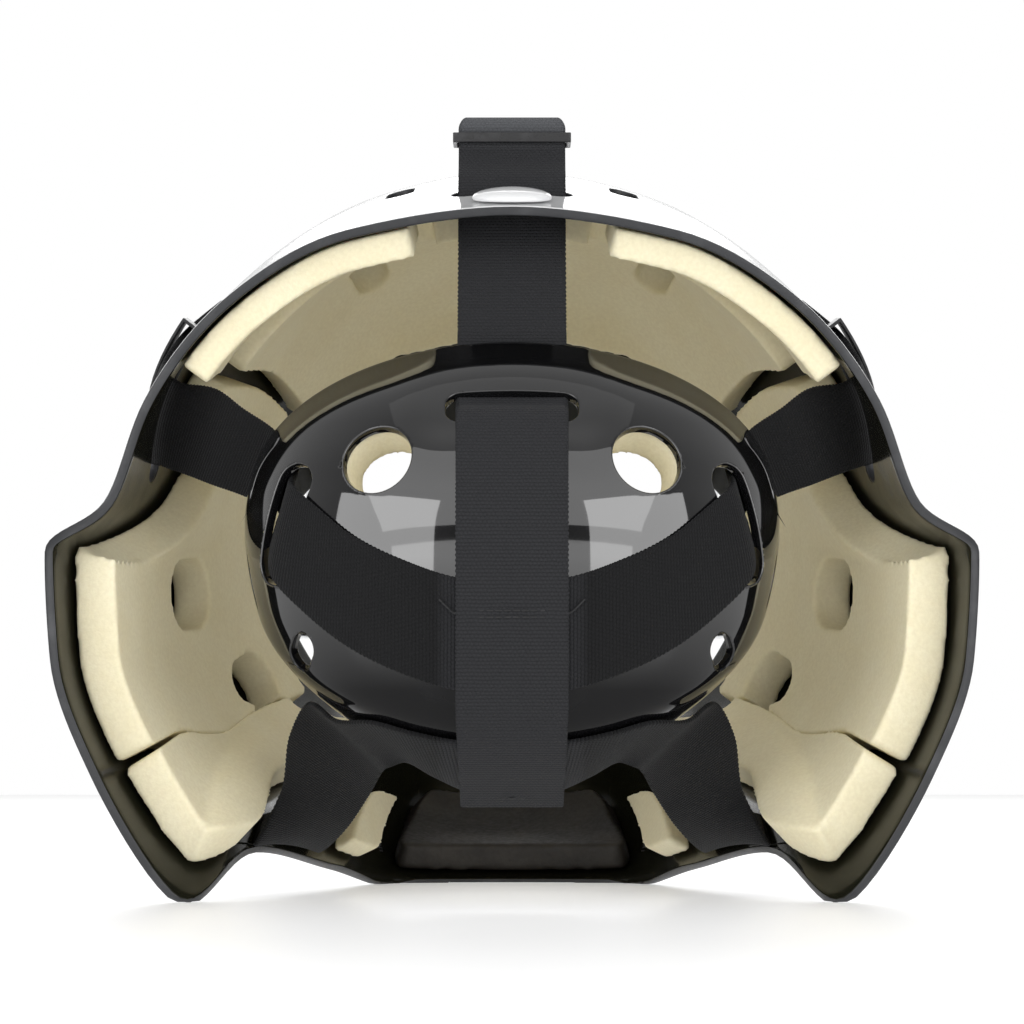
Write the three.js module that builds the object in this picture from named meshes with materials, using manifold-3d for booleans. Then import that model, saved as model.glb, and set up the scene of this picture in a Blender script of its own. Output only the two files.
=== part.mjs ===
import * as THREE from "three";
import { mergeVertices } from "three/addons/utils/BufferGeometryUtils.js";
import Module from "manifold-3d";

const wasm = await Module();
wasm.setup();

// Driving dimensions, in millimetres. +Y is forward, +Z up, x = 0 the plane of symmetry.
const centreShift = 14.75; // moves the whole helmet so that its box is centred front to back
const shellWall = 2.9;
const seat = 0.35; // gap between touching pieces
const foamDeep = 12.7;
const strapWide = 32;
const strapThick = 1.6;
const plateWall = 3;
const liningDeep = 10;
const wireRadius = 2.1;
const wireSides = 5;
const slotWide = 38;
const slotTall = 8;

// The shell's ribs, from the crown round the rear edge and the neck edge to the chin.
// Each row is one line over the shell: the free edge, three points on the way, the face opening.
const ribs = [
  { name: "crown", edge: [0, -100, 205], back: [0, -45, 220], mid: [0, 15, 228], front: [0, 72, 207], face: [0, 104, 152] },
  { name: "crownSide", edge: [49, -100, 198], back: [48, -45, 211], mid: [47, 15, 218], front: [42, 72, 196], face: [38, 99, 147] },
  { name: "hairline", edge: [86, -98, 177], back: [84, -45, 186], mid: [80, 15, 190], front: [68, 66, 173], face: [62, 90, 137] },
  { name: "temple", edge: [109, -94, 148], back: [106, -45, 153], mid: [100, 10, 155], front: [87, 56, 147], face: [75, 84, 122] },
  { name: "aboveEar", edge: [121, -92, 118], back: [113, -48, 122], mid: [105, 8, 124], front: [91, 55, 120], face: [77, 81, 104] },
  { name: "flareTop", edge: [138, -97, 103], back: [125, -50, 104], mid: [108, 5, 106], front: [92, 53, 104], face: [76, 79, 88] },
  { name: "jawWide", edge: [136, -100, 71], back: [124, -50, 74], mid: [106, 5, 79], front: [89, 53, 85], face: [70, 82, 74] },
  { name: "jawLow", edge: [123.5, -100, 36], back: [112, -53, 42], mid: [96, 2, 50], front: [79, 52, 62], face: [60, 88, 62] },
  { name: "tip", edge: [96, -99, -1.5], back: [92, -55, 24], mid: [83, -4, 38], front: [70, 45, 47], face: [50, 94, 55] },
  { name: "neck", edge: [78, -52, 13], back: [75, -20, 26], mid: [69, 18, 34], front: [59, 58, 42], face: [42, 99, 52] },
  { name: "chinSide", edge: [58, 10, 6], back: [57, 34, 15], mid: [54, 62, 25], front: [46, 88, 36], face: [32, 106, 51] },
  { name: "chinCorner", edge: [38, 62, -1.5], back: [39, 82, 6], mid: [37, 99, 17], front: [32, 110, 33], face: [21, 111, 50] },
  { name: "chin", edge: [0, 66, -1.5], back: [0, 90, 5], mid: [0, 111, 17], front: [0, 121, 33], face: [0, 116, 50] },
];
const stations = ["edge", "back", "mid", "front", "face"];
const lastRib = ribs.length - 1;

// The back plate's rows, from its top rim over the bulge to its bottom rim.
// bow shapes how fast a row climbs to its side: 1 is an ellipse, less is more pointed in the middle.
const plateRows = [
  { name: "topRim", midY: -106, midZ: 164.5, sideX: 77.5, sideY: -98, sideZ: 119, bow: 1 },
  { name: "brow", midY: -126, midZ: 152, sideX: 78.5, sideY: -97, sideZ: 115, bow: 1 },
  { name: "eyes", midY: -141, midZ: 133, sideX: 79, sideY: -96.5, sideZ: 111, bow: 1 },
  { name: "bulge", midY: -148, midZ: 110, sideX: 79, sideY: -96, sideZ: 107, bow: 1 },
  { name: "belly", midY: -149.5, midZ: 88, sideX: 78.5, sideY: -96, sideZ: 103, bow: 1 },
  { name: "base", midY: -148, midZ: 67, sideX: 77.5, sideY: -96, sideZ: 98, bow: 1 },
  { name: "ridge", midY: -141, midZ: 51, sideX: 76, sideY: -96, sideZ: 93, bow: 1 },
  { name: "under", midY: -124, midZ: 40, sideX: 74.5, sideY: -95, sideZ: 89, bow: 0.8 },
  { name: "bottomRim", midY: -106, midZ: 30, sideX: 73, sideY: -94, sideZ: 86, bow: 0.62 },
];

// Foam pads on the shell's inside: rib range, distance range from the free edge, thickness.
const pads = [
  { name: "crown_pad", fromRib: 0.62, toRib: 2.6, near: 4, far: 44, thick: 9, extra: 0.2, across: 5, along: 3 },
  {
    name: "temple_pad", fromRib: 2.72, toRib: 3.45, near: 52, far: 150, thick: foamDeep, extra: 0.3,
    across: 3, along: 5,
  },
  {
    name: "jaw_pad", fromRib: 4.74, toRib: 6.97, near: 15, far: 150, thick: foamDeep, extra: 0.2,
    rise: 1.08, riseTo: 85, bends: "end", soft: 0.45, across: 8, along: 8,
  },
  {
    name: "lower_jaw_pad", fromRib: 7.04, toRib: 8.5, near: 16, far: 134, thick: foamDeep, extra: 0.6,
    bends: "start", soft: 0.9, flare: 0.44, across: 6, along: 7,
  },
  { name: "chin_side_pad", fromRib: 9.85, toRib: 10.25, near: 8, far: 60, thick: 8, extra: 0.6, across: 4, along: 4 },
];
// The seam between the two jaw pads drops by this much on its way forward, to pass under the ear holes.
const seamBend = { from: 40, to: 84, ribs: 0.46 };
// The lower jaw pad widens over the neck edge between these distances, in front of the strap's end.
const padFlare = { from: 40, to: 64 };
const foreheadPad = { toRib: 2.5, near: 50, far: 204, taper: 36, thick: foamDeep, extra: 1.2, across: 10, along: 7 };
const chinCup = { fromRib: 10.9, near: 5, far: 52, thick: 9, extra: 0.3, across: 8, along: 4 };

const colours = {
  shell: { color: 0xf2f2f0, roughness: 0.15, metalness: 0 },
  plate: { color: 0x0a0a0a, roughness: 0.08, metalness: 0 },
  foam: { color: 0xe6dbb0, roughness: 0.9, metalness: 0 },
  strap: { color: 0x17181b, roughness: 0.95, metalness: 0 },
  buckle: { color: 0x101010, roughness: 0.4, metalness: 0 },
  cup: { color: 0x241f1a, roughness: 0.8, metalness: 0 },
  steel: { color: 0xc4c6c8, roughness: 0.25, metalness: 1 },
};

const group = new THREE.Group();
group.position.y = centreShift;

function addMesh(name, geometry, finish, mirrored = false) {
  const mesh = new THREE.Mesh(geometry, new THREE.MeshStandardMaterial(colours[finish]));
  mesh.name = name;
  if (mirrored) mesh.geometry = mirrorGeometry(geometry);
  group.add(mesh);
}

function mirrorGeometry(geometry) {
  const copy = geometry.clone();
  const position = copy.attributes.position;
  for (let i = 0; i < position.count; i++) position.setX(i, -position.getX(i));
  const index = [...copy.index.array];
  for (let i = 0; i < index.length; i += 3) [index[i], index[i + 1]] = [index[i + 1], index[i]];
  copy.setIndex(index);
  return copy;
}

// Monotone cubic interpolation: passes through every knot and never overshoots.
function monotone(knots, values, at) {
  const last = knots.length - 1;
  let k = 0;
  while (k < last - 1 && at > knots[k + 1]) k++;
  const slope = (i) => (values[i + 1] - values[i]) / (knots[i + 1] - knots[i]);
  const tangent = (i) => {
    if (i === 0) return slope(0);
    if (i === last) return slope(last - 1);
    const before = slope(i - 1);
    const after = slope(i);
    return before * after <= 0 ? 0 : (2 * before * after) / (before + after);
  };
  const width = knots[k + 1] - knots[k];
  const t = (at - knots[k]) / width;
  const a = values[k];
  const b = values[k + 1];
  const m = tangent(k) * width;
  const n = tangent(k + 1) * width;
  return a + t * (m + t * (3 * (b - a) - 2 * m - n + t * (2 * (a - b) + m + n)));
}

// Ribs go round in a loop: a negative number is the same rib on the left side,
// and numbers past the chin come back up the left side.
function ribRow(number) {
  const turn = 2 * lastRib;
  const wrapped = ((number % turn) + turn) % turn;
  const left = wrapped > lastRib;
  return { row: ribs[left ? turn - wrapped : wrapped], sign: left ? -1 : 1 };
}

function ribLine(rib) {
  const base = Math.floor(rib);
  const knots = [base - 1, base, base + 1, base + 2];
  const line = stations.map((station) => {
    const points = knots.map((knot) => {
      const { row, sign } = ribRow(knot);
      return [row[station][0] * sign, row[station][1], row[station][2]];
    });
    return new THREE.Vector3(...[0, 1, 2].map((axis) => monotone(knots, points.map((p) => p[axis]), rib)));
  });
  const lengths = [0];
  for (let i = 1; i < line.length; i++) lengths.push(lengths[i - 1] + line[i].distanceTo(line[i - 1]));
  return { line, lengths };
}

// Point on the shell's outer surface: rib number, and distance in mm from the free edge.
function shellPoint(rib, along) {
  const { line, lengths } = ribLine(rib);
  return new THREE.Vector3(...["x", "y", "z"].map((axis) => monotone(lengths, line.map((p) => p[axis]), along)));
}

function ribLength(rib) {
  return ribLine(rib).lengths.at(-1);
}

function shellNormal(rib, along) {
  const stepRib = 0.04;
  const stepAlong = 1.5;
  const acrossWay = shellPoint(rib + stepRib, along).sub(shellPoint(rib - stepRib, along));
  const low = Math.max(along - stepAlong, 0);
  const high = Math.min(along + stepAlong, ribLength(rib));
  const alongWay = shellPoint(rib, high).sub(shellPoint(rib, low));
  return acrossWay.cross(alongWay).normalize();
}

function shellAt(rib, along, depth) {
  return shellPoint(rib, along).addScaledVector(shellNormal(rib, along), -depth);
}

// Point on the back plate's outer (rear) surface: row number and angle across, -90 to 90 degrees.
function platePoint(row, angle) {
  const knots = plateRows.map((_, i) => i);
  const value = (key) => monotone(knots, plateRows.map((r) => r[key]), row);
  const turn = THREE.MathUtils.degToRad(angle);
  const climb = 1 - Math.cos(turn);
  return new THREE.Vector3(
    value("sideX") * Math.sin(turn),
    value("midY") + (value("sideY") - value("midY")) * climb,
    value("midZ") + (value("sideZ") - value("midZ")) * Math.pow(climb, value("bow")),
  );
}

function plateNormal(row, angle) {
  const last = plateRows.length - 1;
  const up = platePoint(Math.max(row - 0.08, 0), angle).sub(platePoint(Math.min(row + 0.08, last), angle));
  const turned = THREE.MathUtils.clamp(angle, -86, 86);
  const right = platePoint(row, turned + 2).sub(platePoint(row, turned - 2));
  return right.cross(up).normalize();
}

// Point above (negative: below) the plate's rear surface, found by where it lies seen from behind.
function overPlate(x, z, lift) {
  let low = 0;
  let high = plateRows.length - 1;
  let angle = 0;
  for (let i = 0; i < 30; i++) {
    const row = (low + high) / 2;
    const side = platePoint(row, 90).x;
    angle = THREE.MathUtils.radToDeg(Math.asin(THREE.MathUtils.clamp(x / side, -1, 1)));
    if (platePoint(row, angle).z > z) low = row;
    else high = row;
  }
  return platePoint(low, angle).addScaledVector(plateNormal(low, angle), lift);
}

// Closed solid between two grids of points, outer[i][j] and inner[i][j].
function wall(outer, inner, loop = false) {
  const rows = outer.length;
  const columns = outer[0].length;
  const points = [...outer.flat(), ...inner.flat()];
  const index = [];
  const face = (a, b, c, d) => index.push(a, b, c, a, c, d);
  const at = (layer, i, j) => layer * rows * columns + (i % rows) * columns + j;
  const spans = loop ? rows : rows - 1;
  for (let i = 0; i < spans; i++) {
    for (let j = 0; j < columns - 1; j++) {
      face(at(0, i, j), at(0, i, j + 1), at(0, i + 1, j + 1), at(0, i + 1, j));
      face(at(1, i, j), at(1, i + 1, j), at(1, i + 1, j + 1), at(1, i, j + 1));
    }
    face(at(0, i, 0), at(0, i + 1, 0), at(1, i + 1, 0), at(1, i, 0));
    face(at(0, i, columns - 1), at(1, i, columns - 1), at(1, i + 1, columns - 1), at(0, i + 1, columns - 1));
  }
  if (!loop) {
    for (let j = 0; j < columns - 1; j++) {
      face(at(0, 0, j), at(1, 0, j), at(1, 0, j + 1), at(0, 0, j + 1));
      face(at(0, rows - 1, j), at(0, rows - 1, j + 1), at(1, rows - 1, j + 1), at(1, rows - 1, j));
    }
  }
  const geometry = new THREE.BufferGeometry().setFromPoints(points);
  geometry.setIndex(index);
  return facingOut(mergeVertices(geometry, 1e-3));
}

function facingOut(geometry) {
  const position = geometry.attributes.position;
  const index = [...geometry.index.array];
  const corner = [new THREE.Vector3(), new THREE.Vector3(), new THREE.Vector3()];
  let volume = 0;
  for (let i = 0; i < index.length; i += 3) {
    corner.forEach((c, k) => c.fromBufferAttribute(position, index[i + k]));
    volume += corner[0].dot(corner[1].clone().cross(corner[2]));
  }
  if (volume < 0) {
    for (let i = 0; i < index.length; i += 3) [index[i], index[i + 1]] = [index[i + 1], index[i]];
    geometry.setIndex(index);
  }
  return geometry;
}

function solid(geometry) {
  const bare = geometry.clone();
  bare.deleteAttribute("normal");
  bare.deleteAttribute("uv");
  const merged = mergeVertices(bare, 1e-3);
  const vertProperties = new Float32Array(merged.attributes.position.array);
  const triVerts = new Uint32Array(merged.index.array);
  return new wasm.Manifold(new wasm.Mesh({ numProp: 3, vertProperties, triVerts }));
}

function geometryOf(manifold) {
  const mesh = manifold.getMesh();
  const geometry = new THREE.BufferGeometry();
  geometry.setAttribute("position", new THREE.BufferAttribute(mesh.vertProperties, 3));
  geometry.setIndex(new THREE.BufferAttribute(mesh.triVerts, 1));
  return geometry;
}

// Extruded outline with round ends, its long side along "wide", pushed along "through".
function slotTool(centre, wide, through, length, height, deep) {
  const straight = (length - height) / 2;
  const outline = new THREE.Shape();
  outline.absarc(straight, 0, height / 2, -Math.PI / 2, Math.PI / 2, false);
  outline.absarc(-straight, 0, height / 2, Math.PI / 2, (3 * Math.PI) / 2, false);
  const settings = { depth: deep, bevelEnabled: false, curveSegments: 2 };
  const geometry = new THREE.ExtrudeGeometry(outline, settings);
  geometry.translate(0, 0, -deep / 2);
  const zAxis = through.clone().normalize();
  const yAxis = zAxis.clone().cross(wide).normalize();
  const xAxis = yAxis.clone().cross(zAxis);
  geometry.applyMatrix4(new THREE.Matrix4().makeBasis(xAxis, yAxis, zAxis).setPosition(centre));
  return solid(geometry);
}

function gridOf(rows, columns, at) {
  return Array.from({ length: rows + 1 }, (_, i) =>
    Array.from({ length: columns + 1 }, (_, j) => at(i / rows, j / columns)));
}

function both(make) {
  make("left", -1);
  make("right", 1);
}

// Slots, vents and ear holes: rib number and distance from the edge of each centre.
const crownSlot = { rib: 0, along: 27 };
const sideSlot = { rib: 3.2, along: 33, slant: 7, halfRibs: 0.42 }; // its lower end lies further forward
const crownVents = [
  { rib: 0.7, along: 61, long: 26, tall: 9 },
  { rib: 1.25, along: 128, long: 30, tall: 9 },
];
const earHoles = [
  { rib: 5.5, along: 83, long: 32, tall: 23, bore: 13 },
  { rib: 6.75, along: 120, long: 30, tall: 22, bore: 12 },
];
const chinVent = { rib: 10.62, along: 26, wide: 5 };

// The shell's own sheet between two depths below its outer surface.
function shellSheet(fromDepth, toDepth) {
  const perRib = 2;
  const turns = 2 * lastRib * perRib;
  const steps = 7;
  const layer = (depth) => Array.from({ length: turns }, (_, i) => {
    const rib = -lastRib + i / perRib;
    const length = ribLength(rib);
    return Array.from({ length: steps + 1 }, (__, j) => shellAt(rib, (length * j) / steps, depth));
  });
  return solid(wall(layer(fromDepth), layer(toDepth), true));
}

function shellShape() {
  let shell = shellSheet(0, shellWall);
  const floor = new THREE.BoxGeometry(400, 400, 40).translate(0, 0, -20);
  shell = shell.subtract(solid(floor));
  const cut = (tool) => {
    shell = shell.subtract(tool);
  };
  const sideways = new THREE.Vector3(1, 0, 0);
  cut(slotTool(shellPoint(0, crownSlot.along), sideways, shellNormal(0, crownSlot.along), slotWide, slotTall, 16));
  both((_, sign) => {
    const rib = sideSlot.rib * sign;
    const reach = sideSlot.halfRibs * sign;
    const upper = shellPoint(rib - reach, sideSlot.along - sideSlot.slant);
    const upSlot = upper.sub(shellPoint(rib + reach, sideSlot.along + sideSlot.slant));
    const through = shellNormal(rib, sideSlot.along);
    cut(slotTool(shellPoint(rib, sideSlot.along), upSlot, through, slotWide + 4, slotTall + 3, 16));
    for (const vent of crownVents) {
      const at = vent.rib * sign;
      const forward = shellPoint(at, vent.along + 4).sub(shellPoint(at, vent.along - 4));
      cut(slotTool(shellPoint(at, vent.along), forward, shellNormal(at, vent.along), vent.long, vent.tall, 40));
    }
    for (const hole of earHoles) {
      const at = hole.rib * sign;
      const forward = shellPoint(at, hole.along + 4).sub(shellPoint(at, hole.along - 4));
      cut(slotTool(shellPoint(at, hole.along), forward, shellNormal(at, hole.along), hole.bore + 0.1, hole.bore, 16));
    }
    const vent = chinVent.rib * sign;
    const forward = shellPoint(vent, chinVent.along + 4).sub(shellPoint(vent, chinVent.along - 4));
    const inward = shellNormal(vent, chinVent.along);
    cut(slotTool(shellPoint(vent, chinVent.along), forward, inward, chinVent.wide + 0.1, chinVent.wide, 12));
  });
  return shell;
}

// A pad follows the shell. Its facets and the shell's differ, so it keeps a little more room.
const padRoom = seat + 0.6;

// Where the pad's upper edge climbs, its first rib number falls by "rise" between "near" and "riseTo".
function padRib(pad, u, along) {
  const climb = THREE.MathUtils.smoothstep(along, pad.near, pad.riseTo ?? pad.far) * (pad.rise ?? 0);
  const drop = THREE.MathUtils.smoothstep(along, seamBend.from, seamBend.to) * seamBend.ribs;
  const first = pad.fromRib - climb + (pad.bends === "start" ? drop : 0);
  const widening = THREE.MathUtils.smoothstep(along, padFlare.from, padFlare.to) * (pad.flare ?? 0);
  const last = pad.toRib + (pad.bends === "end" ? drop : 0) + widening;
  return first + (last - first) * u;
}

// The shell's normal, averaged over its neighbours so that a thick pad turns a tight corner softly.
function softNormal(rib, along, spread) {
  const total = shellNormal(rib, along);
  return total.add(shellNormal(rib - spread, along)).add(shellNormal(rib + spread, along)).normalize();
}

function padShape(pad) {
  const close = shellWall + padRoom + (pad.extra ?? 0);
  const at = (depth) => gridOf(pad.across, pad.along, (u, v) => {
    const far = pad.far - (pad.taper ?? 0) * (2 * u - 1) ** 2;
    const along = pad.near + (far - pad.near) * v;
    const rib = padRib(pad, u, along);
    const start = shellAt(rib, along, close);
    const normal = pad.soft ? softNormal(rib, along, pad.soft) : shellNormal(rib, along);
    return start.addScaledVector(normal, close - depth);
  });
  return solid(wall(at(close), at(close + pad.thick)));
}

// A strap as a band: each row has its two edges a and b, and may have its middle m where it is arched.
function strapShape(rows, steps, columns, thick = strapThick) {
  const middle = (r) => r.m ?? r.a.clone().lerp(r.b, 0.5);
  const lines = [rows.map((r) => r.a), rows.map(middle), rows.map((r) => r.b)]
    .map((points) => new THREE.CatmullRomCurve3(points, false, "centripetal"));
  const at = (t, v) => {
    const [a, m, b] = lines.map((line) => line.getPoint(t));
    const arch = m.sub(a.clone().lerp(b, 0.5));
    return a.lerp(b, v).addScaledVector(arch, 4 * v * (1 - v));
  };
  const clamp = THREE.MathUtils.clamp;
  const grid = (side) => gridOf(steps, columns, (t, v) => {
    const way = at(clamp(t + 0.004, 0, 1), v).sub(at(clamp(t - 0.004, 0, 1), v));
    const across = at(t, v + 0.02).sub(at(t, v - 0.02));
    return at(t, v).addScaledVector(across.cross(way).normalize(), (side * thick) / 2);
  });
  return wall(grid(1), grid(-1));
}

function mirrorRow(row) {
  return Object.fromEntries(Object.entries(row).map(([key, point]) => [key, mirrorX(point, -1)]));
}

function level(y, z, half = strapWide / 2) {
  return { a: new THREE.Vector3(-half, y, z), b: new THREE.Vector3(half, y, z) };
}

function plateSlots() {
  const top = overPlate(0, 145.6, 0);
  const side = overPlate(67.1, 111, 0);
  return {
    top: {
      centre: top,
      wide: new THREE.Vector3(1, 0, 0),
      through: new THREE.Vector3(0, -0.8, 0.6),
      long: 42.5,
      tall: 12,
    },
    side: {
      centre: side,
      wide: overPlate(65.3, 125, 0).sub(overPlate(71.6, 102, 0)),
      through: side.clone().sub(overPlate(67.1, 111, -1)),
      long: 38,
      tall: 14.4,
    },
  };
}

const eyeHole = { x: 39, z: 128.6, wide: 21 };
const smallHole = { x: 61, z: 73, long: 12, tall: 8.5 };

function mirrorX(v, sign) {
  return new THREE.Vector3(v.x * sign, v.y, v.z);
}

function plateShape() {
  const last = plateRows.length - 1;
  const at = (depth) => gridOf(10, 20, (u, v) => {
    const row = last * u;
    const angle = -90 + 180 * v;
    return platePoint(row, angle).addScaledVector(plateNormal(row, angle), -depth);
  });
  let plate = solid(wall(at(0), at(plateWall)));
  const slots = plateSlots();
  const { centre: topCentre, wide: topWide, through: topThrough, long, tall } = slots.top;
  plate = plate.subtract(slotTool(topCentre, topWide, topThrough, long, tall, 24));
  both((_, sign) => {
    const slot = slots.side;
    const centre = mirrorX(slot.centre, sign);
    const wide = mirrorX(slot.wide, sign);
    plate = plate.subtract(slotTool(centre, wide, mirrorX(slot.through, sign), slot.long, slot.tall, 18));
    const eye = overPlate(eyeHole.x * sign, eyeHole.z, 0);
    const out = eye.clone().sub(overPlate(eyeHole.x * sign, eyeHole.z, -1));
    plate = plate.subtract(slotTool(eye, new THREE.Vector3(1, 0, 0), out, eyeHole.wide + 0.1, eyeHole.wide, 16));
    const hole = overPlate(smallHole.x * sign, smallHole.z, 0);
    const away = hole.clone().sub(overPlate(smallHole.x * sign, smallHole.z, -1));
    plate = plate.subtract(slotTool(hole, new THREE.Vector3(sign, 0, -1), away, smallHole.long, smallHole.tall, 16));
  });
  return plate;
}

function liningShape() {
  const near = plateWall + seat + 0.5;
  const at = (depth) => gridOf(6, 12, (u, v) => {
    const angle = -46 + 92 * v;
    const top = 1.75 - 0.65 * THREE.MathUtils.smoothstep(Math.abs(angle), 13, 24);
    const row = top + (5.05 - top) * u;
    return platePoint(row, angle).addScaledVector(plateNormal(row, angle), -depth);
  });
  let lining = solid(wall(at(near), at(near + liningDeep)));
  both((_, sign) => {
    const eye = overPlate(eyeHole.x * sign, eyeHole.z, 0);
    const out = eye.clone().sub(overPlate(eyeHole.x * sign, eyeHole.z, -1));
    lining = lining.subtract(slotTool(eye, new THREE.Vector3(1, 0, 0), out, eyeHole.wide + 0.1, eyeHole.wide, 40));
  });
  return lining;
}

// The middle strap: tail on the crown, loop, crown slot, down inside, plate slot, down to its hem.
const outward = (lift) => strapThick / 2 + lift;
function crownStrapShape() {
  const crown = (along, lift, half) => {
    const p = shellPoint(0, along).addScaledVector(shellNormal(0, along), outward(lift));
    return level(p.y, p.z, half);
  };
  const plate = (z, lift, half) => {
    const p = overPlate(0, z, outward(lift));
    return level(p.y, p.z, half);
  };
  return strapShape([
    crown(104, 1.2),
    crown(84, 1.4),
    level(-41, 223.6),
    level(-47.5, 224.4),
    level(-50, 228.5),
    level(-50.6, 233),
    level(-54.3, 236.2),
    level(-58.4, 233.6),
    level(-59.6, 228.5),
    level(-64, 222),
    level(-70.5, 216.8),
    level(-74, 211.5),
    level(-76, 205.5),
    level(-80.5, 197),
    level(-89.5, 181),
    level(-96.5, 168),
    level(-101.2, 159.8),
    plate(157, -plateWall - 4),
    plate(151, -plateWall - 3.4),
    plate(147, -plateWall - 2.5),
    plate(144.5, -3),
    plate(141.5, 0.1),
    plate(136.5, 1.6),
    plate(128, 2.2),
    plate(116, 2.9),
    plate(100, 3.4),
    plate(84, 3.4),
    plate(70, 3.4),
    plate(59, 3.4),
    plate(51.5, 3.4, 15.7),
    plate(45, 3.6, 15.4),
    plate(38.5, 3.6, 15.1),
    plate(32.5, 3.6, 15),
  ], 56, 1);
}

// The upper strap: from the outside of one temple through its slot, behind the plate's rim,
// out through the plate's side slot, across the plate in a smile, and the same way back.
function sideStrapShape() {
  const v = (x, y, z) => new THREE.Vector3(x, y, z);
  const onPlate = (x, upper, lower, lift, lowerX = x) => ({
    a: overPlate(x, upper, outward(lift)),
    m: overPlate((x + lowerX) / 2, (upper + lower) / 2, outward(lift)),
    b: overPlate(lowerX, lower, outward(lift)),
  });
  const onShell = (along, depth, lean = 0) => ({
    a: shellAt(sideSlot.rib - sideSlot.halfRibs - lean, along - sideSlot.slant, depth),
    m: shellAt(sideSlot.rib - lean, along, depth),
    b: shellAt(sideSlot.rib + sideSlot.halfRibs - lean, along + sideSlot.slant, depth),
  });
  const half = [
    onShell(78, -outward(1.1), 0.6),
    onShell(66, -outward(1.8), 0.44),
    onShell(56, -outward(2.4), 0.3),
    onShell(47, -outward(2.2), 0.16),
    onShell(40, -outward(1.5), 0.06),
    onShell(33, 1.5),
    onShell(28, 5.4),
    { a: v(89, -80, 152.5), b: v(98.5, -69, 127.5) },
    { a: v(80, -87, 146), b: v(89, -80.5, 123.5) },
    { a: v(71.6, -92, 140.3), b: v(79.8, -89.2, 120) },
    { a: overPlate(68.3, 134.5, -7), b: overPlate(74, 114, -7.4) },
    { a: overPlate(67.2, 128.5, -6), b: overPlate(74, 108.5, -5.8) },
    { a: overPlate(65.4, 123.8, -2), b: overPlate(71.6, 102, -2) },
    {
      a: overPlate(62, 120.5, outward(0.8)),
      m: overPlate(65.3, 108.5, outward(0.9)),
      b: overPlate(68, 95, outward(0.8)),
    },
    onPlate(55.5, 114.5, 84, 0.7, 58),
    onPlate(45, 106, 74.5, 0.5, 46),
    onPlate(32, 99.5, 67.5, 0.5),
    onPlate(16, 94, 62.5, 0.5),
  ];
  const mirrored = half.map(mirrorRow).reverse();
  return strapShape([...half, onPlate(0, 92.5, 61, 0.5), ...mirrored], 56, 3);
}

// The lower strap: from the inside of one jaw up to the plate's bottom rim, round under its ridge
// behind the middle strap's hem, and the same way back.
const jawEnd = { ribA: 8.8, ribB: 9.62 };
function lowerStrapShape() {
  const v = (x, y, z) => new THREE.Vector3(x, y, z);
  const inJaw = (along, depth) => ({
    a: shellAt(jawEnd.ribA, along, depth),
    m: shellAt((jawEnd.ribA + jawEnd.ribB) / 2, along, depth),
    b: shellAt(jawEnd.ribB, along, depth),
  });
  const under = (x, upper, lower, lowerX = x) => ({
    a: overPlate(x, upper, outward(0.6)),
    m: overPlate((x + lowerX) / 2, (upper + lower) / 2, outward(0.6)),
    b: overPlate(lowerX, lower, outward(0.6)),
  });
  const onShell = shellWall + outward(0.8);
  const half = [
    inJaw(26, onShell),
    inJaw(13, onShell),
    inJaw(3, onShell + 1.2),
    { a: v(69.6, -66.5, 31.5), b: v(50, -52, 21) },
    { a: v(66, -84, 49), b: v(42.5, -73, 31.5) },
    { a: v(60, -96.5, 58.5), b: v(38.5, -90, 38) },
    { a: v(51.5, -112, 53.5), b: v(35.5, -104, 40) },
    under(39, 54, 42.6, 30),
    under(28, 51, 38.4, 22),
    under(15, 48.5, 34, 12),
  ];
  const mirrored = half.map(mirrorRow).reverse();
  return strapShape([...half, under(0, 47.5, 32.3), ...mirrored], 34, 2, 1.4);
}

// A flat ring with a square window: long side along "wide", pushed along "through".
function ringFrame(centre, wide, through, length, height, bar, deep) {
  const zAxis = through.clone().normalize();
  const yAxis = zAxis.clone().cross(wide).normalize();
  const place = new THREE.Matrix4().makeBasis(yAxis.clone().cross(zAxis), yAxis, zAxis).setPosition(centre);
  const outer = new THREE.BoxGeometry(length, height, deep).applyMatrix4(place);
  const window = new THREE.BoxGeometry(length - 2 * bar, height - 2 * bar, deep + 4).applyMatrix4(place);
  return geometryOf(solid(outer).subtract(solid(window)));
}

// The wire cage: one rim wire round the face opening and bars bowed forward between its sides.
const wireLift = wireRadius + seat + 1.6;
function rimPoint(rib) {
  const length = ribLength(rib);
  return shellAt(rib, length - 9, -wireLift);
}

function rimPath() {
  const steps = 44;
  return Array.from({ length: steps }, (_, i) => rimPoint(-lastRib + (2 * lastRib * i) / steps));
}

function wire(points, closed, steps) {
  const path = new THREE.CatmullRomCurve3(points, closed, "centripetal");
  const corners = Array.from({ length: wireSides }, (_, i) => {
    const turn = (2 * Math.PI * i) / wireSides;
    return new THREE.Vector2(wireRadius * Math.cos(turn), wireRadius * Math.sin(turn));
  });
  const section = new THREE.Shape(corners);
  const settings = { steps, extrudePath: path, bevelEnabled: false };
  return solid(new THREE.ExtrudeGeometry(section, settings));
}

// Bars of the cage: start and end as rib numbers on the rim wire, and how far each bows out.
const cageBars = [
  { from: -4.35, to: 4.35, bow: 38, sag: -6 },
  { from: -5.55, to: 5.55, bow: 37, sag: -2 },
  { from: -7.1, to: 7.1, bow: 30, sag: 0 },
];
const cageUprights = [
  { from: 2.1, to: 9.4, bow: 17, sag: 5 },
  { from: 0.55, to: 10.9, bow: 14, sag: -4 },
];

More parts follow.
